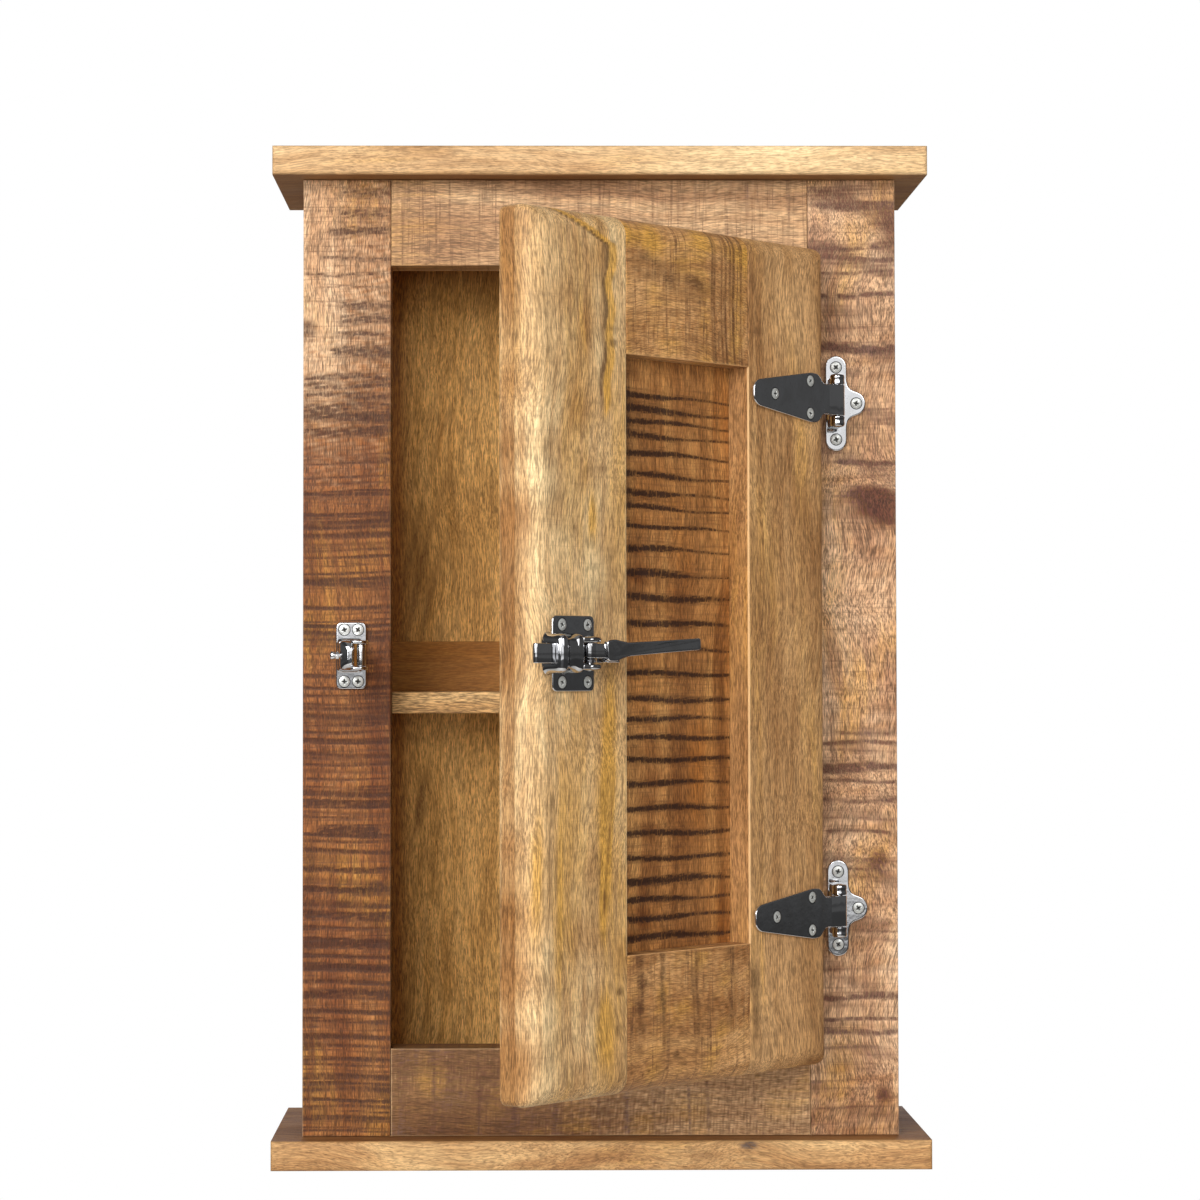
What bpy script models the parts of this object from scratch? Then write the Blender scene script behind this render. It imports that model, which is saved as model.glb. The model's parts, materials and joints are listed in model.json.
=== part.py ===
"""Hanging wall cabinet of solid wood with one icebox-style door.

The frame is +X to the right, -Y to the front and +Z up, with the origin on the wall plane behind
the middle of the back panel. The door is modelled shut, in the frame of an empty on its hinge pins,
and that empty turns it to its half-open rest. The latch and the keeper have empties of their own.
"""

import math

import bmesh
import bpy

# Driving dimensions of the carcass, in metres.
WIDTH, DEPTH, HEIGHT = 0.450, 0.180, 0.700
PLATE_THICK = 0.020
BODY_WIDTH = 0.410
FRONT_PLANE = -0.155
FRAME_THICK, STILE_WIDTH, RAIL_WIDTH = 0.032, 0.0605, 0.060
SIDE_THICK, BACK_THICK = 0.020, 0.006
SHELF_THICK, SHELF_TOP = 0.015, -0.0253
BACK_RAIL_THICK, BACK_RAIL_TOP = 0.012, 0.011
CLEAT = 0.014
HANGER_HEIGHT = 0.290

# Driving dimensions of the door and its hinges.
DOOR_WIDTH, DOOR_HEIGHT, DOOR_THICK = 0.306, 0.556, 0.0275
DOOR_STILE, DOOR_RAIL = 0.090, 0.088
DOOR_ROUND = 0.014
PANEL_SET_BACK, PANEL_THICK, GROOVE_DEPTH = 0.017, 0.007, 0.008
PIN_X, PIN_TO_DOOR = 0.162, 0.009
DOOR_GAP = 0.0005
HINGE_HEIGHT = 0.174
DOOR_REST = math.radians(48.2)

# Driving dimensions of the hardware.
PLATE_METAL = 0.0025
GAP = 0.0003
INTO_PLATE = 0.0006
PIN_RADIUS = 0.002
LATCH_FROM_EDGE = 0.0387
LATCH_PIN_OUT = 0.013
KEEPER_X = -0.1715
ROLLER_X, ROLLER_OUT, ROLLER_RADIUS = 0.0088, 0.0446, 0.0031
SCREW_LENGTH = 0.016
TURN_STEPS = 16

TOWARDS_FRONT = (math.pi / 2, 0.0, 0.0)
TOWARDS_WALL = (-math.pi / 2, 0.0, 0.0)
TOWARDS_LEFT = (0.0, -math.pi / 2, 0.0)


# ---------------------------------------------------------------- materials
def finish(name, colour, roughness, metallic=0.0):
    """A Principled material of one colour."""
    material = bpy.data.materials.new(name)
    material.use_nodes = True
    shader = material.node_tree.nodes["Principled BSDF"]
    shader.inputs["Base Color"].default_value = (*colour, 1.0)
    shader.inputs["Roughness"].default_value = roughness
    shader.inputs["Metallic"].default_value = metallic
    material.diffuse_color = (*colour, 1.0)
    return material


def wood(name, colour):
    return finish(name, colour, 0.55)


def metal(name, colour=(0.62, 0.62, 0.63), roughness=0.12):
    return finish(name, colour, roughness, 1.0)


# ---------------------------------------------------------------- shapes
def add_object(name, mesh, material=None, parent=None, location=(0, 0, 0), rotation=(0, 0, 0)):
    obj = bpy.data.objects.new(name, mesh)
    bpy.context.scene.collection.objects.link(obj)
    obj.parent = parent
    obj.location = location
    obj.rotation_euler = rotation
    if material:
        mesh.materials.clear()
        mesh.materials.append(material)
    return obj


def add_pivot(name, location, parent=None, turn=0.0):
    """An empty that carries the pieces of one assembly."""
    pivot = add_object(name, None, parent=parent, location=location)
    pivot.rotation_euler = (0.0, 0.0, turn)
    pivot.empty_display_size = 0.03
    return pivot


def mesh_from(shape, name, smooth=False):
    """The mesh of a bmesh, with its faces pointing out."""
    bmesh.ops.recalc_face_normals(shape, faces=shape.faces)
    mesh = bpy.data.meshes.new(name)
    shape.to_mesh(mesh)
    shape.free()
    if smooth:
        mesh.shade_smooth()
        mesh.set_sharp_from_angle(angle=math.radians(35))
    return mesh


def box_mesh(name, low, high):
    shape = bmesh.new()
    bmesh.ops.create_cube(shape, size=1.0)
    for vertex in shape.verts:
        for axis in range(3):
            vertex.co[axis] = high[axis] if vertex.co[axis] > 0 else low[axis]
    return mesh_from(shape, name)


def prism_mesh(name, outline, start, end, axis):
    """An outline carried from start to end along an axis; its points give the other two coordinates."""
    shape = bmesh.new()
    corners = []
    for first, second in outline:
        point = [first, second]
        point.insert(axis, start)
        corners.append(shape.verts.new(point))
    face = shape.faces.new(corners)
    carried = bmesh.ops.extrude_face_region(shape, geom=[face])["geom"]
    step = [0.0, 0.0, 0.0]
    step[axis] = end - start
    moved = [item for item in carried if isinstance(item, bmesh.types.BMVert)]
    bmesh.ops.translate(shape, verts=moved, vec=step)
    return mesh_from(shape, name)


def stacked_mesh(name, rings):
    """Rings with the same number of points, joined one to the next and capped at both ends."""
    shape = bmesh.new()
    rows = [[shape.verts.new(point) for point in ring] for ring in rings]
    for row, following in zip(rows, rows[1:]):
        for index in range(len(row)):
            before = index - 1
            shape.faces.new((row[before], row[index], following[index], following[before]))
    shape.faces.new(rows[0])
    shape.faces.new(rows[-1])
    return mesh_from(shape, name)


def turned_mesh(name, profile, steps=TURN_STEPS):
    """A profile of (radius, height) points turned round Z; a radius of 0 closes an end."""
    shape = bmesh.new()
    points = [shape.verts.new((radius, 0.0, height)) for radius, height in profile]
    edges = [shape.edges.new(pair) for pair in zip(points, points[1:])]
    bmesh.ops.spin(shape, geom=points + edges, axis=(0, 0, 1), cent=(0, 0, 0),
                   angle=2 * math.pi, steps=steps, use_merge=True)
    bmesh.ops.remove_doubles(shape, verts=shape.verts, dist=1e-6)
    return mesh_from(shape, name, smooth=True)


def rod_mesh(name, radius, low, high, steps=TURN_STEPS):
    return turned_mesh(name, [(0, low), (radius, low), (radius, high), (0, high)], steps)


def arc(centre, radius, start, end, steps):
    """Points on a circle between two angles in degrees."""
    angles = [math.radians(start + (end - start) * step / steps) for step in range(steps + 1)]
    return [(centre[0] + radius * math.cos(a), centre[1] + radius * math.sin(a)) for a in angles]


def rounded_rectangle(low, high, radius, steps=3):
    """The outline of a rectangle between two corner points, its corners arcs."""
    (left, bottom), (right, top) = low, high
    corners = ((right, top, 0), (left, top, 90), (left, bottom, 180), (right, bottom, 270))
    outline = []
    for x, y, turn in corners:
        centre = (x - math.copysign(radius, x - (left + right) / 2),
                  y - math.copysign(radius, y - (bottom + top) / 2))
        outline += arc(centre, radius, turn, turn + 90, steps)
    return outline


def soften(obj, width, segments=2):
    """Rounds the edges of a piece."""
    bevel = obj.modifiers.new("soften", "BEVEL")
    bevel.width = width
    bevel.segments = segments
    bevel.limit_method = "ANGLE"
    bevel.angle_limit = math.radians(50)
    return obj


def as_helper(obj):
    """Marks a cutter or a joined shape, which isn't a piece of the cabinet."""
    obj.hide_render = True
    obj.display_type = "WIRE"
    return obj


def combine(target, helper, operation="DIFFERENCE"):
    boolean = target.modifiers.new(helper.name, "BOOLEAN")
    boolean.operation = operation
    boolean.solver = "EXACT"
    boolean.object = helper
    return helper


def cut_box(target, name, low, high):
    helper = add_object(name, box_mesh(name, low, high), parent=target.parent)
    return combine(target, as_helper(helper))


def join(target, name, mesh, round_by=0.0, location=(0, 0, 0), rotation=(0, 0, 0)):
    helper = add_object(name, mesh, parent=target.parent, location=location, rotation=rotation)
    if round_by:
        soften(helper, round_by)
    return combine(target, as_helper(helper), "UNION")


def bore(target, name, centre, radius, low, high, rotation=(0, 0, 0), steps=TURN_STEPS):
    """A round hole along the turned Z axis through a centre."""
    mesh = rod_mesh(name, radius, low, high, steps)
    helper = add_object(name, mesh, parent=target.parent, location=centre, rotation=rotation)
    return combine(target, as_helper(helper))


def board(name, low, high, material, parent=None, round_by=0.001):
    """A sawn board with softened edges."""
    return soften(add_object(name, box_mesh(name, low, high), material, parent), round_by)


# ---------------------------------------------------------------- screws
SCREW_HEAD, SCREW_SHANK, SCREW_SINK, SCREW_CROWN = 0.0037, 0.0017, 0.0019, 0.0006


def screw_mesh():
    """A raised countersunk screw, its rim at height 0 and its thread a plain shank."""
    profile = [(0, -SCREW_LENGTH), (0.0006, -SCREW_LENGTH), (SCREW_SHANK, -SCREW_LENGTH + 0.003),
               (SCREW_SHANK, -SCREW_SINK), (SCREW_HEAD, 0), (SCREW_HEAD * 0.6, SCREW_CROWN * 0.7),
               (0, SCREW_CROWN)]
    return turned_mesh("screw", profile, 12)


def screw_room_mesh():
    """The countersunk hole that a screw sits in, GAP wider than the screw all round."""
    slope = GAP * 1.3
    profile = [(0, -SCREW_LENGTH - GAP), (SCREW_SHANK + GAP, -SCREW_LENGTH - GAP),
               (SCREW_SHANK + GAP, -SCREW_SINK - GAP / 2), (SCREW_HEAD + slope, 0),
               (SCREW_HEAD + slope, SCREW_CROWN * 2), (0, SCREW_CROWN * 2)]
    return turned_mesh("screw_room", profile, 12)


def fasten(name, location, rotation, plate, pieces, parent, material):
    """A screw whose rim is flush with its plate, and its hole in the plate and the wood."""
    screw = add_object(name, bpy.data.meshes["screw"].copy(), material, parent, location, rotation)
    room = add_object(name + "_room", bpy.data.meshes["screw_room"], None, parent, location, rotation)
    as_helper(room)
    for piece in [plate, *pieces]:
        combine(piece, room)
    return screw


# ---------------------------------------------------------------- carcass
def build_carcass():
    """Two overhanging plates, two sides, the back, the face frame and the shelf."""
    honey = (0.60, 0.36, 0.17)
    half, body, top = WIDTH / 2, BODY_WIDTH / 2, HEIGHT / 2
    inner_top = top - PLATE_THICK
    made = {}
    for name, sign in (("top_plate", 1), ("bottom_plate", -1)):
        low, high = sorted((sign * inner_top, sign * top))
        made[name] = board(name, (-half, -DEPTH, low), (half, 0, high), wood(name, honey),
                           round_by=0.003)
    tall = inner_top - GAP
    behind_frame = FRONT_PLANE + FRAME_THICK + GAP
    opening = body - STILE_WIDTH
    for side, sign in (("left", -1), ("right", 1)):
        left, right = sorted((sign * body, sign * (body - SIDE_THICK)))
        made["side_" + side] = board("side_" + side, (left, behind_frame, -tall), (right, 0, tall),
                                     wood("side_" + side, (0.33, 0.17, 0.08)))
        left, right = sorted((sign * body, sign * opening))
        made["stile_" + side] = board("stile_" + side, (left, FRONT_PLANE, -tall),
                                      (right, FRONT_PLANE + FRAME_THICK, tall),
                                      wood("stile_" + side, (0.30, 0.15, 0.08)))
    for name, sign in (("rail_top", 1), ("rail_bottom", -1)):
        low, high = sorted((sign * tall, sign * (inner_top - RAIL_WIDTH)))
        made[name] = board(name, (-opening + GAP, FRONT_PLANE, low),
                           (opening - GAP, FRONT_PLANE + FRAME_THICK, high),
                           wood(name, (0.36, 0.22, 0.13)))
    inside = body - SIDE_THICK - GAP
    made["back_panel"] = add_object(
        "back_panel", box_mesh("back_panel", (-inside, -BACK_THICK, -tall), (inside, 0, tall)),
        wood("back_panel", (0.27, 0.15, 0.07)))
    shelf_bottom = SHELF_TOP - SHELF_THICK
    rail_front = -BACK_THICK - GAP - BACK_RAIL_THICK
    board("back_rail", (-inside, rail_front, shelf_bottom), (inside, -BACK_THICK - GAP, BACK_RAIL_TOP),
          wood("back_rail", (0.34, 0.18, 0.07)))
    board("shelf", (-inside, behind_frame + 0.002, shelf_bottom), (inside, rail_front - GAP, SHELF_TOP),
          wood("shelf", (0.55, 0.34, 0.16)))
    for side, sign in (("left", -1), ("right", 1)):
        left, right = sorted((sign * inside, sign * (inside - CLEAT)))
        board("shelf_cleat_" + side, (left, behind_frame + 0.012, shelf_bottom - GAP - CLEAT),
              (right, rail_front, shelf_bottom - GAP), wood("shelf_cleat_" + side, (0.50, 0.30, 0.14)))
    return made


def build_hangers(carcass):
    """A keyhole plate let into the back edge of each side, over a pocket for the wall screw."""
    half_wide, half_tall, thick = 0.008, 0.024, 0.0015
    hole, slot, slot_top = 0.0045, 0.0022, 0.012
    for side, sign in (("left", -1), ("right", 1)):
        x = sign * (BODY_WIDTH / 2 - SIDE_THICK / 2)
        spot = add_pivot("hanger_place_" + side, (x, 0, HANGER_HEIGHT))
        material = metal("hanger_" + side, (0.50, 0.47, 0.40), 0.4)
        outline = rounded_rectangle((-half_wide, -half_tall), (half_wide, half_tall), 0.003)
        plate = add_object("hanger_" + side, prism_mesh("hanger", outline, -thick, 0, 1),
                           material, spot)
        wooden = carcass["side_" + side]
        seat = [(a * 1.04, b * 1.015) for a, b in outline]
        seat_mesh = prism_mesh("hanger_seat", seat, -thick - GAP, 0.001, 1)
        combine(wooden, as_helper(add_object("hanger_seat_" + side, seat_mesh, parent=spot)))
        keyhole = arc((0, 0), hole, 120, 420, 12) + arc((0, slot_top), slot, 0, 180, 6)
        keyhole_mesh = prism_mesh("keyhole", keyhole, -thick - 0.001, 0.001, 1)
        combine(plate, as_helper(add_object("keyhole_" + side, keyhole_mesh, parent=spot)))
        pocket = rounded_rectangle((-0.0055, -0.0055), (0.0055, 0.0165), 0.004)
        pocket_mesh = prism_mesh("screw_pocket", pocket, -0.009, 0.001, 1)
        combine(wooden, as_helper(add_object("screw_pocket_" + side, pocket_mesh, parent=spot)))
        for place, height in (("upper", 0.0195), ("lower", -0.0155)):
            fasten(f"hanger_screw_{side}_{place}", (0, -0.0003, height), TOWARDS_WALL, plate,
                   [wooden], spot, metal(f"hanger_screw_{side}_{place}"))


# ---------------------------------------------------------------- door
def door_blank_mesh(free, hinged, half):
    """The whole door as one slab: square behind, its front edges turned over by a large radius."""
    depths = [(DOOR_THICK, 0.0)]
    for step in range(6):
        turn = math.radians(90 * step / 5)
        depths.append((DOOR_ROUND * (1 - math.sin(turn)), DOOR_ROUND * (1 - math.cos(turn))))
    rings = []
    for y, inset in depths:
        corner = max(0.006 - inset, 0.0006)
        ring = rounded_rectangle((free + inset, -half + inset), (hinged - inset, half - inset), corner)
        rings.append([(x, y, z) for x, z in ring])
    return stacked_mesh("door_blank", rings)


def build_door(pivot):
    """Two stiles, two rails with stub tenons and a thin panel held in their grooves."""
    free, hinged, half = -PIN_TO_DOOR - DOOR_WIDTH, -PIN_TO_DOOR, DOOR_HEIGHT / 2
    blank = as_helper(add_object("door_blank", door_blank_mesh(free, hinged, half), parent=pivot))

    def member(name, low, high, colour):
        return add_object(name, box_mesh(name, low, high), wood(name, colour), pivot)

    margin = 0.005
    inner_free, inner_hinged = free + DOOR_STILE, hinged - DOOR_STILE
    golden, brown = (0.48, 0.27, 0.11), (0.36, 0.19, 0.08)
    panel_top = half - DOOR_RAIL
    groove_front = PANEL_SET_BACK - GAP
    groove_back = PANEL_SET_BACK + PANEL_THICK + GAP
    stop = 0.040
    made = {}
    stiles = {
        "door_stile_latch": (free - margin, inner_free, 1),
        "door_stile_hinge": (inner_hinged, hinged + margin, -1),
    }
    for name, (left, right, side) in stiles.items():
        piece = member(name, (left, -margin, -half - margin), (right, DOOR_THICK + margin,
                                                               half + margin), golden)
        combine(piece, blank, "INTERSECT")
        inner = right if side > 0 else left
        low_x, high_x = sorted((inner - side * (GROOVE_DEPTH + GAP), inner + side * margin))
        cut_box(piece, name + "_groove", (low_x, groove_front, -half + stop),
                (high_x, groove_back, half - stop))
        made[name] = piece
    for name, sign in (("door_rail_top", 1), ("door_rail_bottom", -1)):
        low, high = sorted((sign * panel_top, sign * (half + margin)))
        piece = member(name, (inner_free + GAP, -margin, low),
                       (inner_hinged - GAP, DOOR_THICK + margin, high), brown)
        combine(piece, blank, "INTERSECT")
        low, high = sorted((sign * panel_top, sign * (half - stop - GAP)))
        tenon = box_mesh(name + "_tenon", (inner_free - GROOVE_DEPTH, PANEL_SET_BACK, low),
                         (inner_hinged + GROOVE_DEPTH, PANEL_SET_BACK + PANEL_THICK, high))
        join(piece, name + "_tenon", tenon)
        low, high = sorted((sign * (panel_top - margin), sign * (panel_top + GROOVE_DEPTH + GAP)))
        cut_box(piece, name + "_groove", (inner_free - 0.02, groove_front, low),
                (inner_hinged + 0.02, groove_back, high))
    reach = GROOVE_DEPTH - 0.001
    low = (inner_free - reach, PANEL_SET_BACK, -panel_top - reach)
    high = (inner_hinged + reach, PANEL_SET_BACK + PANEL_THICK, panel_top + reach)
    add_object("door_panel", box_mesh("door_panel", low, high), wood("door_panel", (0.30, 0.13, 0.05)),
               pivot)
    return made


# ---------------------------------------------------------------- hinges
def strap_outline():
    """The tapered strap seen from the front: tip, widest shoulder, neck and knuckle end."""
    tip, shoulder, neck = -0.096, -0.033, -0.019
    tip_half, shoulder_half, neck_half = 0.0085, 0.017, 0.0095
    upper = [(0.0, neck_half), (neck, neck_half)]
    upper += arc((shoulder + 0.006, shoulder_half - 0.005), 0.005, 45, 100, 3)
    upper += arc((tip + 0.005, tip_half - 0.005), 0.005, 100, 180, 3)
    return upper + [(x, -z) for x, z in reversed(upper)]


def build_hinge(where, height, pivot, frame_piece, door_piece):
    """An offset strap hinge: a strap on the door front and a plate with two ears on the frame."""
    knuckle, ear_low, ear_high = 0.0104, 0.0108, 0.0180
    barrel = 0.005
    pin_out = DOOR_THICK + DOOR_GAP
    on_frame = add_pivot(f"hinge_place_{where}", (PIN_X, FRONT_PLANE, height))
    on_door = add_pivot(f"strap_place_{where}", (0, 0, height), pivot)

    strap_mesh = prism_mesh("strap", strap_outline(), -PLATE_METAL - GAP, -GAP, 1)
    strap = soften(add_object("hinge_strap_" + where, strap_mesh, metal("hinge_strap_" + where),
                              on_door), 0.0006, 1)
    join(strap, f"knuckle_{where}", rod_mesh("knuckle", barrel, -knuckle, knuckle))
    bore(strap, f"strap_bore_{where}", (0, 0, 0), PIN_RADIUS + GAP, -0.03, 0.03)
    for place, x, z in (("tip", -0.0734, 0), ("top", -0.0343, 0.011), ("bottom", -0.0343, -0.011)):
        name = f"hinge_strap_screw_{where}_{place}"
        fasten(name, (x, -PLATE_METAL - GAP, z), TOWARDS_FRONT, strap, [door_piece], on_door,
               metal(name))

    half_tall, half_wide, lobe_x, lobe_radius = 0.033, 0.0074, 0.0135, 0.0085
    bar_x, waist = 0.0015, [(0.0089, 0.0130), (0.0103, 0.0096)]
    plan = arc((bar_x, half_tall - half_wide), half_wide, 0, 180, 6)
    plan += arc((bar_x, -half_tall + half_wide), half_wide, 180, 360, 6)
    plan += [(x, -z) for x, z in waist]
    plan += arc((lobe_x, 0), lobe_radius, -75, 75, 6)
    plan += reversed(waist)
    plate_mesh = prism_mesh("hinge_plate", plan, -PLATE_METAL - GAP, -GAP, 1)
    plate = soften(add_object("hinge_plate_" + where, plate_mesh, metal("hinge_plate_" + where),
                              on_frame), 0.0006, 1)
    for place, sign in (("upper", 1), ("lower", -1)):
        low, high = sorted((sign * ear_low, sign * ear_high))
        side_view = [(-barrel, -GAP - INTO_PLATE), (-barrel, -pin_out)]
        side_view += arc((0, -pin_out), barrel, 180, 360, 6)[1:]
        side_view += [(barrel, -GAP - INTO_PLATE)]
        ear = prism_mesh("ear", side_view, low, high, 2)
        join(plate, f"ear_{where}_{place}", ear)
    bore(plate, f"ear_bore_{where}", (0, -pin_out, 0), PIN_RADIUS + GAP, -0.03, 0.03)
    for place, x, z in (("upper", bar_x, 0.0250), ("lower", bar_x, -0.0250), ("side", 0.0155, 0)):
        name = f"hinge_plate_screw_{where}_{place}"
        fasten(name, (x, -PLATE_METAL - GAP, z), TOWARDS_FRONT, plate, [frame_piece], on_frame,
               metal(name))
    pin_half = ear_high + 0.0004
    add_object("hinge_pin_" + where, rod_mesh("hinge_pin", PIN_RADIUS, -pin_half, pin_half, 12),
               metal("hinge_pin_" + where), on_frame, (0, -pin_out, 0))


# ---------------------------------------------------------------- latch
def build_latch(pivot, door_piece):
    """A cast housing with a sliding bolt, drawn back by the lever that turns on an upright pin."""
    edge_x = -PIN_TO_DOOR - DOOR_WIDTH
    place = add_pivot("latch_place", (edge_x + LATCH_FROM_EDGE, 0, 0), pivot)
    plate_left, plate_right, half_tall = -0.023, 0.0165, 0.0235
    bolt_half, ear_inner, ear_outer, ear_radius = 0.00615, 0.0068, 0.0105, 0.0075
    top = -LATCH_PIN_OUT

    outline = rounded_rectangle((plate_left, -half_tall), (plate_right, half_tall), 0.0035)
    mesh = prism_mesh("latch_body", outline, -PLATE_METAL - GAP, -GAP, 1)
    body = soften(add_object("latch_body", mesh, metal("latch_body"), place), 0.0006, 1)
    stations = [(-0.031, 0.0150, 0.0092), (-0.029, 0.0172, 0.0115), (-0.026, 0.0180, 0.0120),
                (-0.017, 0.0178, 0.0105), (-0.010, 0.0182, 0.0100), (0.001, 0.0182, 0.0100)]
    rings = []
    for x, out, half in stations:
        ring = rounded_rectangle((-out, -half), (-GAP - INTO_PLATE, half), 0.0040)
        rings.append([(x, y, z) for y, z in ring])
    join(body, "latch_housing", stacked_mesh("latch_housing", rings))
    foot = -GAP - INTO_PLATE
    ear = [(-0.009, foot)] + arc((0, top), ear_radius, 180, 360, 8) + [(0.0105, foot)]
    join(body, "latch_ears", prism_mesh("latch_ears", ear, -ear_outer, ear_outer, 2))
    cut_box(body, "bolt_channel", (-0.040, -0.0123, -bolt_half - GAP), (0.030, -0.0031, bolt_half + GAP))
    cut_box(body, "lever_slot", (-0.0085, -0.030, -ear_inner), (0.032, -0.0031, ear_inner))
    bore(body, "latch_bore", (0, top, 0), PIN_RADIUS + GAP, -0.02, 0.02)
    for row, z in (("upper", 0.0178), ("lower", -0.0178)):
        for column, x in (("left", -0.0141), ("right", 0.0101)):
            name = f"latch_screw_{row}_{column}"
            fasten(name, (x, -PLATE_METAL - GAP, z), TOWARDS_FRONT, body, [door_piece], place,
                   metal(name))

    pin_half = ear_outer + 0.0004
    add_object("latch_pin", rod_mesh("latch_pin", PIN_RADIUS, -pin_half, pin_half, 12),
               metal("latch_pin"), place, (0, top, 0))

    nose = [(-0.0487, -0.0115), (-0.0487, -0.0092), (-0.0415, -0.0034), (-0.016, -0.0034),
            (-0.016, -0.0120), (-0.0480, -0.0120)]
    bolt = add_object("latch_bolt", prism_mesh("latch_bolt", nose, -bolt_half, bolt_half, 2),
                      metal("latch_bolt"), place)
    soften(bolt, 0.0005, 1)
    join(bolt, "bolt_tail", box_mesh("bolt_tail", (-0.018, -0.0062, -0.0052), (0.008, -0.0034, 0.0052)))
    cut_box(bolt, "bolt_window", (-0.0062, -0.010, -0.0034), (0.0022, 0.0, 0.0034))

    lever_place = add_pivot("lever_place", (0, top, 0), place)
    hub, hub_low, hub_high = 0.0052, -0.0030, 0.0064
    lever = add_object("latch_lever", rod_mesh("latch_lever", hub, hub_low, hub_high),
                       metal("latch_lever"), lever_place)
    arm = [(0.0, -0.0050), (0.0, 0.0035), (0.012, 0.0010), (0.020, -0.0060), (0.020, -0.0100),
           (0.012, -0.0095)]
    join(lever, "lever_arm", prism_mesh("lever_arm", arm, hub_low, hub_high, 2))
    bar = prism_mesh("lever_bar", rounded_rectangle((0.012, -0.00395), (0.098, 0.00395), 0.0015),
                     -0.0102, -0.0067, 1)
    join(lever, "lever_bar", bar, 0.0006, (0, 0, 0.0012), (0, -math.radians(3), 0))
    finger = box_mesh("lever_finger", (-0.0014, 0.0030, -0.0030), (0.0014, 0.0093, 0.0030))
    join(lever, "lever_finger", finger)
    bore(lever, "lever_bore", (0, 0, 0), PIN_RADIUS + GAP, -0.02, 0.02)

    build_lever_spring(place, top)


def build_lever_spring(place, pin_y):
    """A torsion spring round the pin, below the hub, which turns the lever home."""
    wire, coil, turns, per_turn, low, pitch = 0.00045, 0.0036, 2.25, 14, -0.0061, 0.0011
    path = bpy.data.curves.new("lever_spring", "CURVE")
    path.dimensions = "3D"
    path.bevel_depth = wire
    path.bevel_resolution = 1
    path.use_fill_caps = True
    steps = int(turns * per_turn)
    spline = path.splines.new("POLY")
    spline.points.add(steps)
    for step, point in enumerate(spline.points):
        angle = 2 * math.pi * step / per_turn
        rise = low + pitch * step / per_turn
        point.co = (coil * math.cos(angle), coil * math.sin(angle), rise, 1)
    add_object("lever_spring", path, metal("lever_spring", (0.45, 0.45, 0.47), 0.3), place,
               (0, pin_y, 0))


# ---------------------------------------------------------------- keeper
def build_keeper(frame_piece):
    """The strike on the left stile: a cast post whose roller holds the bolt."""
    place = add_pivot("keeper_place", (KEEPER_X, FRONT_PLANE, 0))
    outline = rounded_rectangle((-0.0105, -0.0230), (0.0105, 0.0230), 0.0035)
    mesh = prism_mesh("keeper_body", outline, -PLATE_METAL - GAP, -GAP, 1)
    body = soften(add_object("keeper_body", mesh, metal("keeper_body"), place), 0.0006, 1)
    post = [(-0.0095, -GAP - INTO_PLATE), (-0.0060, -0.040), (-0.0045, -0.0460), (-0.0005, -0.0490),
            (0.0100, -0.0490), (0.0135, -0.0460), (0.0135, -0.0385), (0.0065, -0.0365),
            (0.0065, -GAP - INTO_PLATE)]
    join(body, "keeper_post", prism_mesh("keeper_post", post, -0.0100, 0.0100, 2), 0.0015)
    slot_half = 0.0076
    cut_box(body, "roller_slot", (0.0040, -0.060, -slot_half), (0.030, -0.0340, slot_half))
    bore(body, "roller_bore", (ROLLER_X, -ROLLER_OUT, 0), 0.0013 + GAP, -0.02, 0.02, steps=12)
    adjust_out = 0.0420
    bore(body, "adjust_bore", (-0.0110, -adjust_out, 0), 0.0016 + GAP, -0.012, 0.004,
         TOWARDS_LEFT, 12)
    for row, z in (("upper", 0.0178), ("lower", -0.0178)):
        for column, x in (("left", -0.0047), ("right", 0.0047)):
            name = f"keeper_screw_{row}_{column}"
            fasten(name, (x, -PLATE_METAL - GAP, z), TOWARDS_FRONT, body, [frame_piece], place,
                   metal(name))
    roller = turned_mesh("keeper_roller", [(0.0013 + GAP, -0.0073), (ROLLER_RADIUS, -0.0073),
                                           (ROLLER_RADIUS, 0.0073), (0.0013 + GAP, 0.0073),
                                           (0.0013 + GAP, -0.0073)])
    add_object("keeper_roller", roller, metal("keeper_roller", (0.75, 0.75, 0.75)), place,
               (ROLLER_X, -ROLLER_OUT, 0))
    add_object("keeper_roller_pin", rod_mesh("keeper_roller_pin", 0.0013, -0.0102, 0.0102, 12),
               metal("keeper_roller_pin"), place, (ROLLER_X, -ROLLER_OUT, 0))
    head, thread, nut = 0.0029, 0.0016, 0.0026
    adjuster = [(0, -0.0085), (thread, -0.0085), (thread, -0.0030), (nut, -0.0030), (nut, -0.0008),
                (thread, -0.0008), (thread, -0.0003), (head, -0.0003), (head, 0.0024),
                (head * 0.8, 0.0029), (0, 0.0029)]
    add_object("keeper_adjuster", turned_mesh("keeper_adjuster", adjuster, 12),
               metal("keeper_adjuster"), place, (-0.0094, -adjust_out, 0), TOWARDS_LEFT)


# ---------------------------------------------------------------- assembly
def build_cabinet():
    for obj in list(bpy.data.objects):
        bpy.data.objects.remove(obj, do_unlink=True)
    screw_mesh()
    screw_room_mesh()
    carcass = build_carcass()
    build_hangers(carcass)
    door_pivot = add_pivot("door_pivot", (PIN_X, FRONT_PLANE - DOOR_THICK - DOOR_GAP, 0),
                           turn=DOOR_REST)
    door = build_door(door_pivot)
    for where, sign in (("upper", 1), ("lower", -1)):
        build_hinge(where, sign * HINGE_HEIGHT, door_pivot, carcass["stile_right"],
                    door["door_stile_hinge"])
    build_latch(door_pivot, door["door_stile_latch"])
    build_keeper(carcass["stile_left"])


build_cabinet()
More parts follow.
